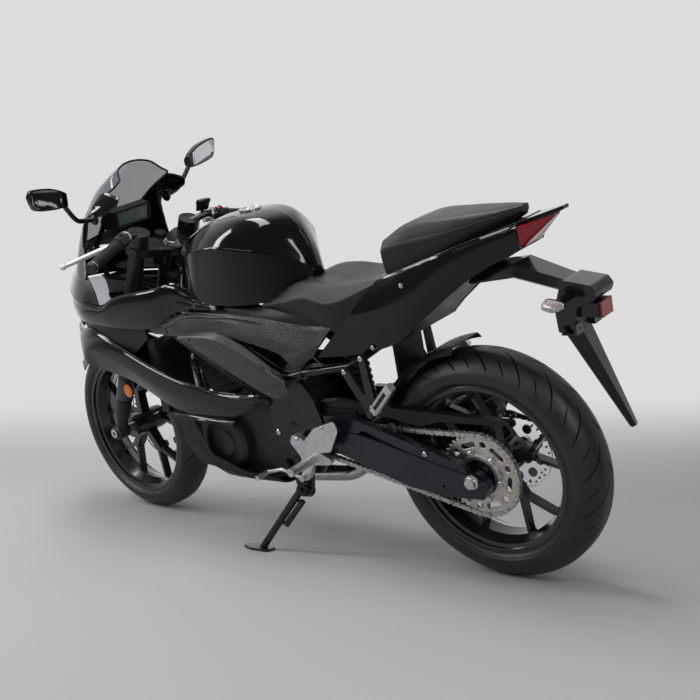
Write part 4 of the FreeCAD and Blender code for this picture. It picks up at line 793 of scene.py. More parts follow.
# %% Tyres with cut tread
PITCHES, BEAD = 18, 216.0
LONG, SHORT = (0.06, 0.92, 0.036), (0.46, 0.86, 0.026)
LIPS = ((-1.0, 0.0), (-0.62, 1.0), (0.62, 1.0), (1.0, 0.0))
CROWN_FLAT = 2.5  # how much the middle of the crown is flattened, in millimetres


def lag(place):
    """How far behind the centre line the tread runs at a crown point, in pitches."""
    return 1.05 * abs(place) ** 0.66


def columns(place):
    """(position in the pitch, depth share) of every grid line at a crown point."""
    out = []
    for at, kinds in ((0.0, (LONG, SHORT)), (0.5, (SHORT, LONG))):
        start, end, width = kinds[0] if place >= 0 else kinds[1]
        s = abs(place)
        ease = max(0.0, min(1.0, (s - start) / 0.07, (end - s) / 0.07))
        for side, share in LIPS:
            out.append((at + side * width * (0.35 + 0.65 * ease), share * min(1.0, ease * 1.5)))
        out += [(at + 0.14, 0.0), (at + 0.25, 0.0), (at + 0.36, 0.0)]
    return out


def tyre(name, node, body, centre, home, outer, half, bead, rim_half, pitches, depth):
    """Tyre with a carved crown, plain walls with a few moulded rings, and beads."""
    section = []
    crown = 48
    bulge = math.radians(62)
    for k in range(crown + 1):
        a = -1 + 2 * k / crown
        y = half * 0.955 * math.sin(a * bulge) / math.sin(bulge)
        drop = (outer - bead) * 0.46 * (1 - math.cos(a * bulge)) / (1 - math.cos(bulge))
        flat = CROWN_FLAT * max(0.0, 1 - (a / 0.34) ** 2) ** 2
        section.append((y, outer - drop - flat, a))
    wall = []
    low = section[-1][1]
    for t, w in ((0.12, 0.995), (0.3, 1.0), (0.5, 0.985), (0.53, 0.965), (0.57, 0.975),
                 (0.72, 0.93), (0.76, 0.90), (0.8, 0.91), (0.92, 0.86), (1.0, 0.8)):
        w = w + (rim_half / half - 0.8) * max(0.0, (t - 0.6) / 0.4) if t > 0.6 else w
        wall.append((half * w, low + (bead + 5 - low) * t, None))
    right = [(-y, r, None) for y, r, n in reversed(wall)]
    inner = [(rim_half - 6, bead + 2, None), (half * 0.86, bead + 30, None),
             (half * 0.7, outer - 24, None), (0, outer - 13, None), (-half * 0.7, outer - 24, None),
             (-half * 0.86, bead + 30, None), (-(rim_half - 6), bead + 2, None)]
    ring = right + section + wall + inner
    lines = [columns(place if place is not None else 1.0) for y, r, place in ring]
    lags = [lag(place if place is not None else 1.0) for y, r, place in ring]
    per_pitch = len(lines[0])
    steps = pitches * per_pitch
    points = []
    for i in range(steps):
        for (y, r, place), line, late in zip(ring, lines, lags):
            at, share = line[i % per_pitch]
            a = 2 * math.pi * (i // per_pitch + at + late) / pitches
            r -= depth * share
            points.append(centre + Vector((r * math.cos(a), y, r * math.sin(a))))
    m = len(ring)
    faces = []
    for i in range(steps):
        j = (i + 1) % steps
        for k in range(m):
            q = (k + 1) % m
            faces.append((i * m + k, i * m + q, j * m + q, j * m + k))
    skin = piece(name, points, faces, body, "tyre_rubber", home=home, sharp=38)
    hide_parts(node)
    print(name, "faces", len(faces))


tyre("rear_tyre_tread", "rear_tyre", "rear_wheel", rear_hub, BIKE, REAR_RADIUS, 71.0, BEAD, 55.0,
     PITCHES, 6.5)
tyre("front_tyre_tread", "front_tyre", "front_wheel", front_axle, FRONT, FRONT_RADIUS, 56.0, BEAD,
     42.0, PITCHES, 5.5)

# %% [markdown]
# ## Rim lips and sprocket carrier
#
# A rim's lip keeps the bead of the tyre on, and its glossy edge draws the circle of the
# wheel. The carrier joins the sprocket to the hub. Both are rings turned on a lathe.

# %% Rim lips and sprocket carrier
RIM_SEAT = 217.5
lip_ring = [(-6, RIM_SEAT), (-6, 228), (-3, 231), (0, 231), (2, 229), (2.5, 222), (1, RIM_SEAT)]
for name, body, home, centre, half in (("rear_rim_lips", "rear_wheel", BIKE, rear_hub, 61.5),
                                       ("front_rim_lips", "front_wheel", FRONT, front_axle, 47.0)):
    lips = [spun([(side * (half + s), r) for s, r in lip_ring], centre, (0, 1, 0), 96)
            for side in (1, -1)]
    piece(name, *gather(*lips), body, "alloy_black", home=home, sharp=50)
carrier = spun([(86, 44), (86, 58), (92, 57), (93, 52), (91, 47), (91, 44)], rear_hub, (0, 1, 0),
               64)
piece("sprocket_carrier", *carrier, "rear_wheel", "bare_aluminium", sharp=40)
print("rim lips: 4")

# %% [markdown]
# ## Seats
#
# Each seat is foam under a stretched cover: a low dished saddle for the rider and a
# raised pad behind. The cover pulls tight over the crown and rolls under at the rim,
# with a sewn welt round the top. Only the outside shows, so each is one closed form,
# swollen a little between its seams, rather than a cloth run that would change little.

# %% Seat cushions
RIDER = [
    (590, 772, 90, 776, 140, 766, 752), (500, 806, 95, 812, 150, 780, 742),
    (430, 806, 100, 818, 146, 790, 722), (340, 802, 104, 812, 142, 776, 700),
    (215, 826, 84, 828, 104, 820, 806),
]
PILLION = [
    (188, 930, 78, 926, 100, 905, 841), (110, 968, 78, 964, 98, 925, 866),
    (0, 978, 70, 974, 90, 942, 902), (-110, 986, 42, 982, 56, 966, 937),
    (-150, 988, 26, 985, 36, 975, 950), (-180, 989, 10, 988, 15, 982, 964),
]


def cushion(name, node, rows, roll, swell):
    """Foam pad with a rolled rim. Returns the piece and the line of its welt."""
    rings, welt = [], []
    stations = flow(rows, 12)
    for i, (x, cz, sy, sz, ey, ez, fz) in enumerate(stations):
        puff = swell * math.sin(math.pi * i / (len(stations) - 1)) ** 0.5
        low = min(fz, ez - roll * 2)
        half = flow(((0, cz - 0.5), (sy * 0.5, (cz + sz) / 2 + puff * 0.6), (sy, sz),
                     ((sy + ey) / 2 + 2, (sz + ez) / 2 + puff), (ey - roll * 0.2, ez),
                     (ey, ez - roll * 0.8), (ey - 2, (ez + low) / 2), (ey - 9, low)), 4)
        half = [(y, z) for y, z in half] + [(ey * 0.5, low)]
        welt.append(Vector((x, ey - roll * 0.2, ez)))
        ring = half + [(0, low)] + [(-y, z) for y, z in half[:0:-1]]
        rings.append([Vector((x, y, z)) for y, z in ring])
    pad = piece(name, *rings_solid(rings), "chassis", "seat_cover", sharp=50)
    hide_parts(node)
    return pad, welt


rider_pad, rider_welt = cushion("rider_cushion", "rider_seat", RIDER, 10.0, 1.5)
pillion_pad, pillion_welt = cushion("pillion_cushion", "pillion_seat", PILLION, 8.0, 2.5)
print("cushions:", rider_pad.name, pillion_pad.name)

# %% [markdown]
# ## Welts and stitches
#
# A welt is a cord sewn into a seam, and keeps the cover's edge crisp. It follows the
# line that the cushion gave back, and a row of short stitches runs beside it.

# %% Welts and stitches


def stitched(name, line, radius, lift):
    """Piping along a seam on both sides, with a row of stitches beside it."""
    shapes = []
    for side in (1, -1):
        path = [Vector((p.x, p.y * side, p.z)) for p in line]
        shapes.append(hose(path, radius, steps=2, sides=8))
        beside = [p + Vector((0, -side * lift, lift * 0.35)) for p in path]
        for a, b in zip(beside, beside[1:]):
            for t in (0.05, 0.55):
                one, two = a.lerp(b, t), a.lerp(b, t + 0.3)
                shapes.append(hose((one, two), 0.7, steps=1, sides=5))
    piece(name, *gather(*shapes), "chassis", "seat_cover")


stitched("rider_welt", rider_welt[2:-1], 1.8, 7.0)
stitched("pillion_welt", pillion_welt[1:-1], 2.0, 7.0)
print("welts:", 4)

# %% [markdown]
# ## Chain drive
#
# A 520 chain joins the gearbox sprocket to the wheel: 15.875 mm pitch, a pair of inner
# plates and a pair of outer plates in turn, a roller on every pin. The closed path is
# two arcs joined by the two straight runs that touch them both. Links are laid along
# it one pitch apart, and the sum of pitches must fill it evenly.

# %% Chain path
PITCH, CHAIN_Y = 15.875, 85.0
REAR_TEETH, FRONT_TEETH = 43, 14
rear_pitch = PITCH / 2 / math.sin(math.pi / REAR_TEETH)
front_pitch = PITCH / 2 / math.sin(math.pi / FRONT_TEETH)
front_hub = Vector((605, 0, 370))
line = front_hub - rear_hub
apart = line.length
tilt = math.atan2(line.z, line.x)
lean_in = math.asin((rear_pitch - front_pitch) / apart)
run = math.sqrt(apart ** 2 - (rear_pitch - front_pitch) ** 2)
rear_wrap = (math.pi + 2 * lean_in) * rear_pitch
front_wrap = (math.pi - 2 * lean_in) * front_pitch
whole = 2 * run + rear_wrap + front_wrap
links = 2 * round(whole / PITCH / 2)


def at_chain(s):
    """Point on the chain's pitch line, s from the top of the rear sprocket."""
    s = s % whole
    top = tilt + math.pi / 2 - lean_in
    low = tilt - math.pi / 2 + lean_in

    def polar(hub, r, a):
        return hub + Vector((math.cos(a) * r, 0, math.sin(a) * r))

    if s < run:
        return polar(rear_hub, rear_pitch, top).lerp(polar(front_hub, front_pitch, top), s / run)
    s -= run
    if s < front_wrap:
        return polar(front_hub, front_pitch, top - s / front_pitch)
    s -= front_wrap
    if s < run:
        return polar(front_hub, front_pitch, low).lerp(polar(rear_hub, rear_pitch, low), s / run)
    return polar(rear_hub, rear_pitch, low - (s - run) / rear_pitch)


print("chain links:", links, "mean pitch", round(whole / links, 3), "mm")

# %% [markdown]
# ## Chain links
#
# A link is two waisted plates. Each is drawn as a flat outline and given its thickness,
# and a roller and a pin are laid on every joint. Inner links sit nearer the middle of
# the chain than outer ones, and the two kinds take turns.

# %% Chain links


def slab(near, far):
    """Solid between two flat loops given in the same order."""
    points = list(near) + list(far)
    n = len(near)
    faces = [tuple(range(n)), tuple(reversed(range(n, 2 * n)))]
    faces += [(i, (i + 1) % n, n + (i + 1) % n, n + i) for i in range(n)]
    return points, faces


def link_plate(a, b, y0, y1, tall=6.9, waist=5.0):
    """Waisted plate round two pins."""
    way = (b - a).normalized()
    up_way = Vector((-way.z, 0, way.x))
    outline = []
    for centre, first in ((b, -90), (a, 90)):
        for k in range(7):
            t = math.radians(first + 30 * k)
            outline.append(centre + way * math.cos(t) * tall + up_way * math.sin(t) * tall)
        if centre is b:
            outline.append((a + b) / 2 + up_way * waist)
        else:
            outline.append((a + b) / 2 - up_way * waist)
    return slab(*([Vector((p.x, y, p.z)) for p in outline] for y in (y0, y1)))


def barrel(centre, r, y0, y1, sides=10):
    """Roller or pin across the chain."""
    return spun([(y0, r), (y1, r)], centre, (0, 1, 0), sides, closed=False)


shapes = []
pins = [at_chain(i * whole / links) for i in range(links)]
for i, pin in enumerate(pins):
    following = pins[(i + 1) % links]
    near, far = (3.3, 5.0) if i % 2 else (5.1, 6.7)
    for side in (1, -1):
        shapes.append(link_plate(pin, following, CHAIN_Y + side * near, CHAIN_Y + side * far))
    shapes.append(barrel(pin, 5.0, CHAIN_Y - 3.3, CHAIN_Y + 3.3))
    shapes.append(barrel(pin, 2.5, CHAIN_Y - 8.1, CHAIN_Y + 8.1, 8))
chain = piece("chain_links", *gather(*shapes), "chassis", "chain_steel", smooth=False)
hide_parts("chain")
print("chain faces:", len(chain.data.polygons))

# %% [markdown]
# ## Rear sprocket
#
# The sprocket is one plate: teeth on the pitch circle with a round seat for every
# roller, and a ring of long slots and round holes that save weight. A flat curve with
# holes is filled, thickened and given broken edges, which suits a plate with this many
# holes better than cutting them one after another.

# %% Plates cut from an outline, and turned bolts


def plate(outline, y0, y1, holes=(), bevel=0.8):
    """Flat plate cut to an (x, z) outline with holes, edges broken."""
    curve = bpy.data.curves.new("plate", "CURVE")
    curve.dimensions = "2D"
    curve.fill_mode = "BOTH"
    curve.extrude = abs(y1 - y0) / 2 - bevel
    curve.bevel_depth = bevel
    curve.bevel_resolution = 0
    curve.offset = -bevel
    for loop in [outline] + list(holes):
        spline = curve.splines.new("POLY")
        spline.points.add(len(loop) - 1)
        for point, (x, z) in zip(spline.points, loop):
            point.co = (x, z, 0, 1)
        spline.use_cyclic_u = True
    holder = bpy.data.objects.new("plate", curve)
    mesh = bpy.data.meshes.new_from_object(holder)
    middle = (y0 + y1) / 2
    points = [Vector((v.co.x, middle - v.co.z, v.co.y)) for v in mesh.vertices]
    faces = [tuple(p.vertices) for p in mesh.polygons]
    bpy.data.objects.remove(holder)
    bpy.data.curves.remove(curve)
    bpy.data.meshes.remove(mesh)
    return points, faces


def circle(x, z, r, count=24):
    """Corners of a round hole."""
    return [(x + r * math.cos(2 * math.pi * k / count), z + r * math.sin(2 * math.pi * k / count))
            for k in range(count)]


def lathe(profile, centre, axis, steps):
    """Solid part turned from (along, radius) pairs, closed at both ends on its axis."""
    ends = (profile[0][0], 0.5), (profile[-1][0], 0.5)
    return spun([ends[0], *profile, ends[1]], centre, axis, steps, closed=False)


print("plate and bolt makers ready")

# %% Sprocket
SPROCKET_HALF = 2.9  # half of its thickness
SLOTS_AT, HOLES_AT, BOLTS_AT = 84, 86, 62  # radii
# One tooth, as a share of its step round the wheel and how far out it is from the pitch circle.
TOOTH = ((-0.5, 4.6), (-0.40, 3.6), (-0.30, 0.3), (-0.2, -3.0), (-0.07, -5.1), (0.07, -5.1),
         (0.2, -3.0), (0.30, 0.3), (0.40, 3.6))
teeth = []
for k in range(REAR_TEETH):
    base = tilt + math.pi / 2 - lean_in + 2 * math.pi * k / REAR_TEETH
    step = 2 * math.pi / REAR_TEETH
    for share, out in TOOTH:
        a, r = base + step * share, rear_pitch + out
        teeth.append((math.cos(a) * r, REAR_RADIUS + math.sin(a) * r))


def oval(radius, angle, length, width, count=8):
    """Slot outline bent round the wheel's centre."""
    loop = []
    for end in (1, -1):
        for k in range(count + 1):
            t = math.radians(-90 + 180 * k / count)
            r = radius + math.sin(t) * width / 2 * end
            a = angle + end * (length / 2 + math.cos(t) * width / 2) / radius
            loop.append((math.cos(a) * r, REAR_RADIUS + math.sin(a) * r))
    return loop


holes = [circle(0, REAR_RADIUS, 46, 48)]
for k in range(6):
    a = math.radians(60 * k + 12)
    holes.append(oval(SLOTS_AT, a, 30, 15))
    b = a + math.radians(30)
    holes.append(circle(math.cos(b) * HOLES_AT, REAR_RADIUS + math.sin(b) * HOLES_AT, 9, 20))
blank = plate(teeth, CHAIN_Y - SPROCKET_HALF, CHAIN_Y + SPROCKET_HALF, holes, 0.7)
sprocket = piece("rear_sprocket_plate", *blank, "rear_wheel", "sprocket_steel", sharp=30)
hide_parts("rear_sprocket")
bolts = []
for k in range(6):
    a = math.radians(60 * k + 12)
    where_bolt = (math.cos(a) * BOLTS_AT, CHAIN_Y + SPROCKET_HALF,
                  REAR_RADIUS + math.sin(a) * BOLTS_AT)
    bolts.append(lathe([(-1, 9.5), (1.6, 9.5), (2.4, 7.4), (8.6, 7.2), (9.2, 6.4)], where_bolt,
                       (0, 1, 0), 6))
piece("sprocket_bolts", *gather(*bolts), "rear_wheel", "bright_steel", smooth=False)
print("teeth:", REAR_TEETH, "bolts:", len(bolts))

# %% [markdown]
# ## Brake discs
#
# Discs are plates too, with a waved edge, large holes that lighten the middle, and rows
# of small ones that let heat and dust out. The same outline cutter makes them.

# %% Discs
DISC_HALF = 2.25  # half of its thickness


def rotor(name, node, body, home, centre, radius, y, hub_r, bore_r):
    """Waved and drilled brake disc."""
    edge = []
    for k in range(240):
        a = 2 * math.pi * k / 240
        r = radius - 1.4 + 1.4 * math.cos(12 * a)
        edge.append((centre.x + math.cos(a) * r, centre.z + math.sin(a) * r))
    holes = [circle(centre.x, centre.z, bore_r, 40)]
    middle_r = (hub_r + radius) / 2 - 2
    for k in range(10):
        a = 2 * math.pi * (k + 0.5) / 10
        holes.append(
            circle(centre.x + math.cos(a) * middle_r, centre.z + math.sin(a) * middle_r, 12.5, 20))
    for k in range(36):
        a = 2 * math.pi * k / 36
        for r in (radius - 24 + 6 * (k % 3), radius - 9 - 5 * (k % 2)):
            if r > middle_r + 16:
                holes.append(circle(centre.x + math.cos(a) * r, centre.z + math.sin(a) * r, 2.3, 8))
    # The discs' finish carries painted shade: its steel is toned dark, as if in shadow.
    disc = piece(name, *plate(edge, y - DISC_HALF, y + DISC_HALF, holes, 0.4), body, "disc_steel",
                 home=home, sharp=30)
    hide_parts(node)


rotor("front_rotor", "front_disc", "front_wheel", FRONT, front_axle, 149.0, -64.0, 60.0, 28.0)
rotor("rear_rotor", "rear_disc", "rear_wheel", BIKE, rear_hub, 110.0, -82.0, 44.0, 30.0)
print("discs: 2")

# %% [markdown]
# ## Small parts with finishes of their own
#
# A few details carry a colour that no large part has: the amber of reflectors and
# bulbs, the red stop switch, the grey-green instrument display and mirror glass.

# %% Accent finishes
clear_plastic("amber", (0.80, 0.17, 0.01), 0.12, 0.15)
finish("stop_red", ((0.42, 0.006, 0.012), (0.52, 0.010, 0.016)), (0.28, 0.36), 60, 900, 0.05)
finish("display", ((0.09, 0.12, 0.10), (0.13, 0.17, 0.14)), (0.12, 0.18), 60, 900, 0.02, coat=0.5)
finish("lever_alloy", ((0.60, 0.66, 0.60), (0.72, 0.77, 0.70)), (0.34, 0.46), 60, 900, 0.08,
       metal=0.4)
finish("mirror_glass", ((0.62, 0.64, 0.66), (0.68, 0.70, 0.72)), (0.02, 0.04), 5, 900, 0.0,
       metal=1.0)
print("accent finishes:", 5)

# %% [markdown]
# ## Mirrors
#
# Each mirror is a wedge-shaped shell on a bent stalk, thick at the middle and thin at
# its outer tip, with the glass let into the face that looks back at the rider.

# %% Mirror shells and glass
MIRROR_X = 1172
SHELL = [(246, 1097, 18, 18), (262, 1102, 24, 22), (300, 1111, 31, 26), (350, 1120, 30.5, 24),
         (364, 1127, 21, 17), (368, 1130, 14, 12)]


def both_sides(shape):
    """A shape and its mirror image."""
    return mirror([Vector(p) for p in shape[0]], shape[1])


shell_rings = []
for y, c, h, d in flow(SHELL, 5):
    front_curve = flow(((8, h), (4, h + 0.5), (-d + 9, h - 1), (-d - 1, h * 0.45), (-d - 3, 0),
                        (-d, -h * 0.75), (-d + 6, -h), (2, -h)), 3)
    face = [(2 + 6 * t, -h + 2 * h * t) for t in (0.15, 0.4, 0.65, 0.9)]
    shell_rings.append([Vector((MIRROR_X - u, y, c + v)) for u, v in front_curve + face])
stalk = hose(((1196, 140, 1012), (1199, 176, 1018), (1200, 206, 1026), (1190, 236, 1060),
              (1178, 262, 1096)), 7.5, 5, 12)
collar = lathe([(-2, 17), (5, 15), (9, 9)], (1197, 146, 1013), (0.1, 1, 0.12), 24)
mirror_shapes = [both_sides(shape) for shape in (rings_solid(shell_rings), stalk, collar)]
shells = piece("mirror_shells", *gather(*mirror_shapes), "chassis", "gloss_black", sharp=30,
               soft=2.0)
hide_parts("mirrors")
outline = [(y, c, h - 4.5) for y, c, h, d in flow(SHELL[1:5], 4)]
rim_points = [(y, c + h, 8) for y, c, h in outline]
rim_points += [(y, c - h, 2) for y, c, h in reversed(outline)]
near = [Vector((MIRROR_X - u - 0.2, y, z)) for y, z, u in rim_points]
far = [p + Vector((-1.0, 0, 0)) for p in near]
piece("mirror_glasses", *both_sides(slab(near, far)), "chassis", "mirror_glass", smooth=False,
      slot="bright_steel")
print("mirror rings:", len(shell_rings))

# %% [markdown]
# ## Controls
#
# Clip-on bars carry ribbed grips, a weight on each end and a switch box beside each
# grip. Most are turned about the line of the bar, so the ribs of a grip are only steps
# in its profile. All of them turn with the fork.

# %% Grips, bar ends and switches
bar_in, bar_out = Vector((1052, 150, 958)), Vector((968, 338, 916))
bar_way = (bar_out - bar_in).normalized()
bar_long = (bar_out - bar_in).length
ribs = [(0.0, 0.5), (0.0, 19.5), (5.0, 19.5), (6.5, 16.0)]
at = 8.0
while at < bar_long * 0.7 - 12:
    ribs += [(at, 15.6), (at + 1.2, 16.6), (at + 3.4, 16.6), (at + 4.6, 15.6)]
    at += 5.4
ribs += [(bar_long * 0.7 - 4, 16.4), (bar_long * 0.7 - 1, 15.0), (bar_long * 0.7 - 1, 0.5)]
grip = spun(ribs, bar_in + bar_way * bar_long * 0.3, bar_way, 28, closed=False)
skin = piece("ribbed_grips", *both_sides(grip), "steering", "grip_rubber", home=FRONT, sharp=30)
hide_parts("grips")
weight = lathe([(-1, 13), (2, 15.5), (9, 15.5), (11, 13.5)], bar_out, bar_way, 28)
piece("bar_weights", *both_sides(weight), "steering", "matte_black", home=FRONT, sharp=30)
ring = spun([(0, 16.4), (3.0, 16.4), (3.0, 13), (0, 13)], bar_out + bar_way * 3, bar_way, 28)
piece("bar_rings", *both_sides(ring), "steering", "bright_steel", home=FRONT, sharp=30)
centre = bar_in.lerp(bar_out, 0.19)
switches, loops = gather(
    lathe([(-15, 17), (-12, 21), (10, 21), (14, 18)], centre, bar_way, 20),
    lathe([(15, 7), (24, 6), (25, 4.5)], centre, Vector((-0.35, 0.1, 1)), 14))
for hand, words in ((1, "left"), (-1, "right")):
    piece("switch_box_" + words, [Vector((p.x, p.y * hand, p.z)) for p in switches], loops,
          "steering", "matte_black", home=FRONT, sharp=30)
stop = lathe([(0, 7.5), (7, 7), (8.5, 5)], (1030, -182, 964), Vector((-0.3, 0.1, 1)), 16)
piece("stop_switch", *stop, "steering", "stop_red", home=FRONT, slot="tail_red")
print("grip ribs from", len(ribs), "profile points")

# %% [markdown]
# ## Levers and fluid pot
#
# A forged lever is flat, slightly bowed, and ends in a ball. Rings of changing width on
# a bowed line give that. A perch clamps it to the bar, and the brake fluid pot stands
# beside the right one.

# %% Levers, perch and fluid pot


def blunt(value, power):
    """A sine or cosine raised to a power with its sign kept, which squares off a circle."""
    return math.copysign(abs(value) ** power, value)


root, tip = fork_point(1008, 50, 176), fork_point(978, 57, 344)
way = (tip - root).normalized()
flat = way.cross(Vector((0, 0, 1))).normalized()
rings = []
for t, wide, tall, bow in (
        (0, 10, 8.5, 0), (0.1, 10, 8.5, 3), (0.3, 9, 8, 7), (0.55, 8, 7.5, 7), (0.8, 7, 6.5, 3),
        (0.95, 6, 6, 0), (0.97, 8, 8, 0), (1.0, 9, 9, 0), (1.03, 8, 8, 0), (1.045, 4.5, 4.5, 0)):
    centre = root.lerp(tip, t) + flat * bow * 0.6
    across = flat.cross(way)
    rings.append([centre + flat * wide * math.cos(math.pi * k / 8)
                  + across * tall * math.sin(math.pi * k / 8) for k in range(16)])
smooth_rings = []
for i in range(len(rings) - 1):
    for k in range(3):
        smooth_rings.append([a.lerp(b, k / 3) for a, b in zip(rings[i], rings[i + 1])])
smooth_rings.append(rings[-1])
lever = rings_solid(smooth_rings)
skin = piece("hand_levers", *both_sides(lever), "steering", "lever_alloy", home=FRONT, sharp=50,
             slot="bare_aluminium")
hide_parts("levers")
clamp = bar_in.lerp(bar_out, 0.1)
PERCH = ((-26, -22, -6), (-26, 4, -6), (6, 6, -5), (4, -10, -5))
perch = gather(
    spun([(-9, 12.5), (-9, 19), (9, 19), (9, 12.5)], clamp, bar_way, 24),
    slab([root + Vector(p) for p in PERCH], [root + Vector((x, y, -z)) for x, y, z in PERCH]),
    lathe([(-9, 6), (8, 6), (10, 4)], root + Vector((0, -4, 0)), (0, 0, 1), 12))
piece("lever_perches", *both_sides(perch), "steering", "bare_aluminium", home=FRONT, sharp=30)
pot_low = fork_point(1050, 40, -148)
pot_rings = []
for s, r in ((0, 10), (1, 15), (24, 16), (26, 17.5), (35, 17.5), (38, 15), (38.2, 8)):
    ring = [2 * math.pi * k / 28 for k in range(28)]
    pot_rings.append(
        [pot_low + steer_axis * s + Vector((blunt(math.cos(a), 0.5) * r,
                                            blunt(math.sin(a), 0.5) * r * 1.15, 0)) for a in ring])
pot_arm = hose((pot_low + steer_axis * 4, pot_low + Vector((-6, 6, -18)),
                clamp + Vector((0, -2 * clamp.y, 6))), 5.0, 4, 10)
pot = gather(rings_solid(pot_rings), pot_arm)
piece("fluid_pot", *pot, "steering", "matte_black", home=FRONT, sharp=30)
print("lever length", round((tip - root).length), "mm")

# %% [markdown]
# ## Steering head
#
# The nut, the lock and the fork caps sit on top of the upper clamp, turned about the
# line of the steering. The clamp bolts lie across it.

# %% Steering head nut, ignition lock, clamp bolts and fork caps
FORK_SPREAD = 97
nut = lathe([(0, 19), (3, 21), (9, 21), (11, 18)], fork_point(996, 0, 0), steer_axis, 6)
washer = lathe([(0, 25), (3, 25)], fork_point(994, 0, 0), steer_axis, 30)
fork_n = (front_axle - foot).dot(FORK_AHEAD)
caps = []
for side in (-1, 1):
    top = fork_point(1014, fork_n, FORK_SPREAD * side)
    caps.append(lathe([(0, 22), (4, 22), (5, 20), (5, 13), (9, 12)], top, steer_axis, 24))
    for along in (708, 974):
        caps.append(
            lathe([(-28, 4.5), (0, 4.5), (1, 6), (5, 6)],
                  fork_point(along + 12, fork_n - 29, FORK_SPREAD * side), Vector((0, side, 0)), 6))
piece("head_fasteners", *gather(nut, washer, *caps), "steering", "bright_steel", home=FRONT,
      smooth=False)
lock = lathe([(0, 17), (10, 17), (12, 15)], fork_point(996, 52, 0), steer_axis, 28)
piece("ignition_lock", *lock, "steering", "matte_black", home=FRONT)
print("fasteners:", 2 + len(caps))

# %% [markdown]
# ## Fork
#
# The fork is upside down: thick tubes above, ground sliders below that end at the axle
# lugs. Where the slider leaves the tube there is a dust seal, and a satin sleeve
# stands above it. A round amber reflector stands on a tab behind each leg.

# %% Fork bands, seals and reflectors
bands, seals, mounts, discs_of_amber = [], [], [], []
for side in (-1, 1):
    bands.append(spun([(0, 24.0), (0, 25.8), (74, 25.8), (74, 24.0)],
                      fork_point(443, fork_n, FORK_SPREAD * side), steer_axis, 32))
    seals.append(spun([(0, 18.5), (0, 24), (4, 27), (12, 27), (14, 25.3), (14, 18.5)],
                      fork_point(428, fork_n, FORK_SPREAD * side), steer_axis, 32))
    root = fork_point(494, fork_n - 20, (FORK_SPREAD + 4) * side)
    tip = fork_point(494, fork_n - 36, 112 * side)
    mounts.append(hose((root, root.lerp(tip, 0.5) + Vector((0, 2 * side, 0)), tip), 4.0, 3, 8))
    mounts.append(lathe([(-3, 23), (1, 23)], tip, Vector((0, side, 0)), 28))
    discs_of_amber.append(spun([(0.8, 0.5), (0.8, 21), (4, 21), (5.4, 18.5), (6, 8), (6, 0.5)], tip,
                               Vector((0, side, 0)), 28, closed=False))
piece("fork_sleeves", *gather(*bands), "steering", "satin_grey", home=FRONT)
piece("fork_seals", *gather(*seals), "steering", "matte_black", home=FRONT)
piece("reflector_tabs", *gather(*mounts), "steering", "matte_black", home=FRONT)
piece("fork_reflectors", *gather(*discs_of_amber), "steering", "amber", home=FRONT,
      slot="lamp_clear")
print("fork pieces:", 4)

# %% [markdown]
# ## Instruments
#
# A flat display in a black housing under the screen, tilted to the rider's eye. The
# glass stands a little proud of the housing, inside a raised border.

# %% Display
face_top, face_low = Vector((1195.6, 0, 1009)), Vector((1204.6, 0, 970))
near = [face_top + Vector((0, 60, 0)), face_low + Vector((0, 56, 0)), face_low - Vector((0, 56, 0)),
        face_top - Vector((0, 60, 0))]
piece("display_glass", *slab(near, [p + Vector((-2.2, 0, -0.5)) for p in near]), "chassis",
      "display", smooth=False, slot="lamp_clear")
corners = [face_top + Vector((-1, 66, 4)), face_low + Vector((-1, 62, -4)),
           face_low + Vector((-1, -62, -4)), face_top + Vector((-1, -66, 4))]
piece("display_bezel", *hose(corners + [corners[0]], 3.0, 1, 8), "chassis", "matte_black")
print("display", round((face_top - face_low).length, 1), "mm tall")

# %% [markdown]
# ## Tail lamp
#
# The tail lamp is a red wedge that closes the tail, moulded with fine ribs that spread
# its light. One section shrinks evenly into another, and every other ring is drawn in
# a little, which makes the ribs.

# %% Tail lamp
LENS_START, LENS_LONG, RIB_DEPTH, LENS_STEPS = -186, 74, 1.6, 24
lens_rings = []
start = [(0, 897), (49, 897), (59, 926), (56, 949), (0, 949)]
finish_ring = [(0, 960), (10, 960), (14, 964), (13, 969), (0, 969)]
for k in range(LENS_STEPS + 1):
    t = k / LENS_STEPS
    drawn_in = RIB_DEPTH * (k % 2)
    ring = []
    for (y0, z0), (y1, z1) in zip(start, finish_ring):
        ring.append((y0 + (y1 - y0) * t, z0 + (z1 - z0) * t))
    half = flow(ring, 4)
    half = [(max(0.0, y - drawn_in * (1 if y > 0.5 else 0)), z) for y, z in half]
    x = LENS_START - LENS_LONG * t
    lens_rings.append(
        [Vector((x, y, z)) for y, z in half] + [Vector((x, -y, z)) for y, z in half[-2:0:-1]])
lamp = piece("tail_lens", *rings_solid(lens_rings), "chassis", "tail_red", sharp=20)
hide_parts("tail_light")
print("lens ribs:", LENS_STEPS // 2)

# %% [markdown]
# ## Turn signals
#
# Clear signals with amber bulbs stand out on short rubber stalks, which give way when
# they are knocked. Base, lens and bulb are each built of rounded rings, set out one
# after another across the machine.

# %% Turn signals
PLATE_X, SIGNAL_Z = -302.0, 776
root, mid_point = Vector((PLATE_X + 17, 42, 778)), Vector((PLATE_X + 21, 90, SIGNAL_Z))
stalks = [hose((root, root.lerp(mid_point, 0.5) + Vector((0, 0, 1)), mid_point), 9.0, 4, 14)]
for k in range(3):
    at_ring = root.lerp(mid_point, 0.25 + 0.2 * k)
    stalks.append(spun([(-2, 8), (-2, 10.2), (2, 10.2), (2, 8)], at_ring, (0, 1, 0), 20))


def signal_ring(y, half_x, half_z, height):
    """Rounded ring at y, out from the middle of the machine."""
    ring = []
    for k in range(20):
        a = 2 * math.pi * k / 20
        u = half_x * blunt(math.cos(a), 0.6)
        v = half_z * blunt(math.sin(a), 0.8)
        ring.append(Vector((PLATE_X + 24 + u * 0.85, y, height + v + u * 0.15)))
    return ring


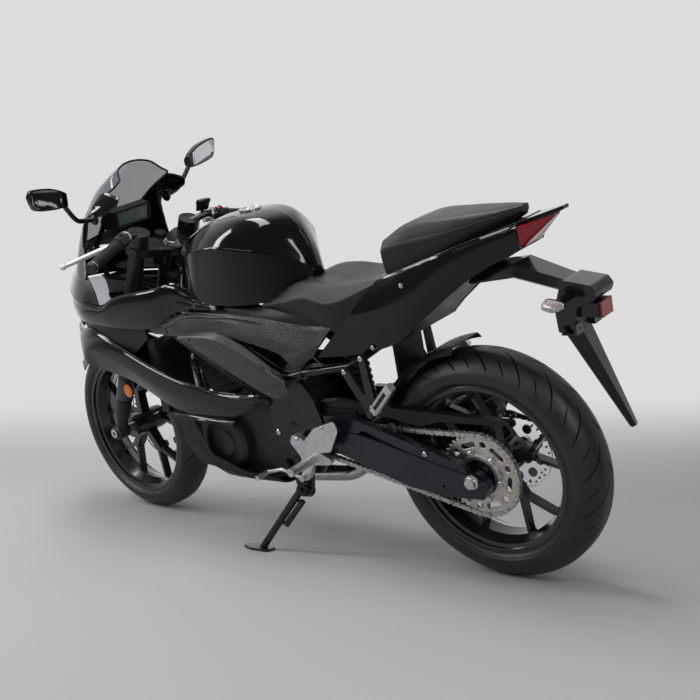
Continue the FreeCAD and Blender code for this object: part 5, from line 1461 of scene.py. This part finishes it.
stalks.append(rings_solid([signal_ring(84, 12, 6, SIGNAL_Z), signal_ring(88, 29, 10, SIGNAL_Z),
                           signal_ring(93, 30, 10.5, SIGNAL_Z)]))
lens_shape = rings_solid(
    [signal_ring(93.2, 29, 9.5, SIGNAL_Z), signal_ring(100, 29, 9.8, SIGNAL_Z),
     signal_ring(112, 26, 9.4, 775), signal_ring(124, 20, 7.5, 774),
     signal_ring(128, 12, 4.5, 774)])
bulb_shape = rings_solid(
    [signal_ring(94, 7, 5, SIGNAL_Z), signal_ring(101, 8, 6, SIGNAL_Z),
     signal_ring(108, 6, 5, 775.5), signal_ring(111, 3, 2.5, 775.5)])
piece("signal_stalks", *gather(*[both_sides(s) for s in stalks]), "chassis", "matte_black",
      sharp=35)
clear = piece("signal_lenses", *both_sides(lens_shape), "chassis", "lamp_clear", sharp=40)
piece("signal_bulbs", *both_sides(bulb_shape), "chassis", "amber", slot="lamp_clear")
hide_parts("rear_indicators")
print("signals:", 2)

# %% [markdown]
# ## Rear spring
#
# The rear shock's coil is a round wire wound at an even pitch between two seats. It is
# a tube drawn along a helix, and damper and coil are drawn upright and tilted together.

# %% Shock spring
SHOCK = Vector((411, 0, 545))
shock_tilt = Matrix.Rotation(math.radians(4), 4, Vector((0, 1, 0)))


def coil(start_s, stop_s, radius, wire, turns, per_turn=20):
    """Round wire wound at an even pitch."""
    points = []
    count = int(turns * per_turn)
    for k in range(count + 1):
        a = 2 * math.pi * k / per_turn
        points.append(Vector((math.cos(a) * radius, math.sin(a) * radius,
                              start_s + (stop_s - start_s) * k / count)))
    return hose(points, wire, 1, 10)


inner_tube = lathe([(-120, 19), (-96, 19), (-94, 31), (-86, 31), (-86, 14), (60, 14), (60, 31),
                    (68, 31), (70, 22), (112, 20)], (0, 0, 0), (0, 0, 1), 32)
TURNS = 7.2
winding = coil(-81, 55, 27, 5.4, TURNS)


def at_shock(shape):
    """A shape drawn upright, moved to the shock's place and tilt."""
    return [SHOCK + shock_tilt @ Vector(p) for p in shape[0]], shape[1]


body_piece = piece("shock_body", *at_shock(inner_tube), "chassis", "engine_black", sharp=35)
piece("shock_spring", *at_shock(winding), "chassis", "matte_black", sharp=60)
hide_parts("rear_shock")
print("coil turns:", TURNS)

# %% [markdown]
# ## Bright fittings
#
# Small bright parts stand out on a black machine. The folding pegs of the passenger
# are flat bars of light alloy with a rubber pad let into their tops.

# %% Passenger pegs
peg_root, peg_end = Vector((248, 159.5, 494)), Vector((166, 176.5, 574))
peg_way = (peg_end - peg_root).normalized()
peg_out = Vector((0, 1, 0)) - peg_way * peg_way.y
peg_out.normalize()
peg_side = peg_way.cross(peg_out)
PEG_SECTION = ((-1, -0.7), (-0.7, -1), (0.7, -1), (1, -0.7), (1, 0.7), (0.7, 1), (-0.7, 1),
               (-1, 0.7))
peg_rings = []
for t, wide, thick in (
        (0.0, 12.5, 10.5), (0.05, 14, 12), (0.5, 13.5, 12), (0.95, 12.5, 11.6), (1.0, 11, 10)):
    middle_of = peg_root.lerp(peg_end, t)
    peg_rings.append(
        [middle_of + peg_side * wide * u + peg_out * thick * v for u, v in PEG_SECTION])
slot_rings = [[peg_root.lerp(peg_end, t) + peg_side * wide + peg_out * out
               for wide, out in ((5, 12.9), (-5, 12.9), (-5, 9.9), (5, 9.9))] for t in (0.18, 0.8)]
piece("passenger_pegs", *both_sides(rings_solid(peg_rings)), "chassis", "bare_aluminium", sharp=25)
piece("peg_pads", *both_sides(rings_solid(slot_rings)), "chassis", "grip_rubber", smooth=False)
print("pegs:", 2)

# %% [markdown]
# ## Bolt heads
#
# The screws of the panels and the bolts of the frame, footrests and swingarm are small
# and bright. One turned head with a socket serves for all, and a table gives each one's
# place and size.

# %% Bolt heads
# Each row is x, y, z and the radius of the head.
BOLTS = [
    (586, 182, 530, 5), (117, 131, 824, 6), (240, 131, 658, 6), (607, 158, 400, 8),
    (394, 120, 424, 7), (133, 129, 375, 7), (271, 151, 633, 7), (334, 151, 593, 7),
    (262, 151, 500, 6), (543, 159, 384, 7), (548, 159, 272, 7), (440, 163, 430, 5),
]
heads = []
for x, y, z, r in BOLTS:
    heads.append(lathe([(-4, r), (2.4, r), (3.6, r * 0.8), (3.6, r * 0.45), (1.6, r * 0.42)],
                       (x, y, z), (0, 1, 0), 20))
piece("bolt_heads", *both_sides(gather(*heads)), "chassis", "bright_steel", sharp=30)
print("bolts:", 2 * len(BOLTS))

# %% [markdown]
# ## Floor
#
# The machine stands on a pale plain floor before a pale wall. Where they would meet, a
# line would cut the view in two, so the floor fades into the tone of the wall with its
# distance along the line of sight.

# %% Floor
WALL_TONE, FLOOR_TONE = 0.72, (0.40, 0.40, 0.41, 1)
low, high = Vector(cad_box[0]), Vector(cad_box[1])
middle = (low + high) / 2
bpy.ops.mesh.primitive_plane_add(size=60, location=(middle.x, middle.y, low.z - 0.0005))
floor = bpy.context.object
floor.name = "studio_floor"
floor_mat = bpy.data.materials.new("studio_floor")
floor_mat.use_nodes = True
tree = floor_mat.node_tree
shader = tree.nodes["Principled BSDF"]
set_inputs(shader, {"Base Color": FLOOR_TONE, "Roughness": 0.8, "Specular IOR Level": 0.2})
place_on = tree.nodes.new("ShaderNodeNewGeometry")
beyond = tree.nodes.new("ShaderNodeVectorMath")
beyond.operation = "SUBTRACT"
beyond.inputs[1].default_value = middle
depth = tree.nodes.new("ShaderNodeVectorMath")
depth.operation = "DOT_PRODUCT"
depth.inputs[1].default_value = (gaze.x, gaze.y, 0.0)
fade = added(tree, "MapRange", {"From Min": 0.4, "From Max": 3.6})
fade.interpolation_type = "SMOOTHERSTEP"
glow = added(tree, "Emission", {"Color": (WALL_TONE, WALL_TONE, WALL_TONE, 1)})
far_off = tree.nodes.new("ShaderNodeMixShader")
end = tree.nodes["Material Output"]
tree.links.new(place_on.outputs["Position"], beyond.inputs[0])
tree.links.new(beyond.outputs["Vector"], depth.inputs[0])
tree.links.new(depth.outputs["Value"], fade.inputs["Value"])
tree.links.new(fade.outputs["Result"], far_off.inputs["Fac"])
tree.links.new(shader.outputs["BSDF"], far_off.inputs[1])
tree.links.new(glow.outputs["Emission"], far_off.inputs[2])
tree.links.new(far_off.outputs["Shader"], end.inputs["Surface"])
floor.data.materials.append(floor_mat)
print("floor at", round(floor.location.z, 4))

# %% [markdown]
# ## Room
#
# Black gloss paint shows only what it mirrors, so the room behind the viewer is kept
# dim. The wall is brightest where the viewer looks, and one world serves for it all, so
# that paint, metal and glass see the same wall as the viewer.

# %% Room
BACK_TONE = 0.14
world = bpy.data.worlds.new("studio")
bpy.context.scene.world = world
world.use_nodes = True
tree = world.node_tree
tree.nodes.clear()
out = tree.nodes.new("ShaderNodeOutputWorld")
room = added(tree, "Background", {"Color": (1, 1, 1, 1)})
where = tree.nodes.new("ShaderNodeTexCoord")
ahead = tree.nodes.new("ShaderNodeVectorMath")
ahead.operation = "DOT_PRODUCT"
ahead.inputs[1].default_value = (gaze.x, gaze.y, 0.0)
spread = added(
    tree, "MapRange", {"From Min": 0.0, "From Max": 0.60, "To Min": BACK_TONE, "To Max": WALL_TONE})
spread.interpolation_type = "SMOOTHSTEP"
tree.links.new(where.outputs["Generated"], ahead.inputs[0])
tree.links.new(ahead.outputs["Value"], spread.inputs["Value"])
tree.links.new(spread.outputs["Result"], room.inputs["Strength"])
tree.links.new(room.outputs["Background"], out.inputs["Surface"])
bpy.context.scene.view_settings.view_transform = "Standard"
print("room tones:", BACK_TONE, WALL_TONE)

# %% [markdown]
# ## Lamps
#
# Gloss black mirrors a lamp as a bright shape, so the lamps are long and soft and draw
# the bright lines that show the creases. Their power is kept low, so that pale metal
# doesn't clip to white.

# %% Soft lamps


def softbox(name, where, size, power):
    """Area light aimed at the middle of the machine."""
    lamp = bpy.data.lights.new(name, "AREA")
    lamp.shape = "RECTANGLE"
    lamp.size, lamp.size_y = size
    lamp.energy = power
    holder = bpy.data.objects.new(name, lamp)
    holder.location = middle + Vector(where)
    holder.rotation_euler = (-Vector(where)).to_track_quat("-Z", "Y").to_euler()
    bpy.context.scene.collection.objects.link(holder)
    return holder


lights = [
    softbox("overhead", (0.2, 0.3, 2.6), (2.4, 0.6), 52),
    softbox("front_arch", (2.3, 1.5, 2.0), (0.55, 2.4), 52),
    softbox("side_card", (2.4, 2.9, 1.3), (0.5, 1.2), 26),
    softbox("left_strip", (-0.5, 2.6, 1.75), (3.0, 0.16), 16),
    softbox("rear_strip", (-3.0, 1.2, 1.1), (0.3, 1.8), 18),
]
print("lamps:", [light.name for light in lights])

# %% [markdown]
# ## Measure
#
# The box of the solids, measured when they were loaded, is printed. The dressed
# machine must be no larger than its solids.

# %% Size of the solids
print("cad    ", [[round(c, 4) for c in corner] for corner in cad_box])
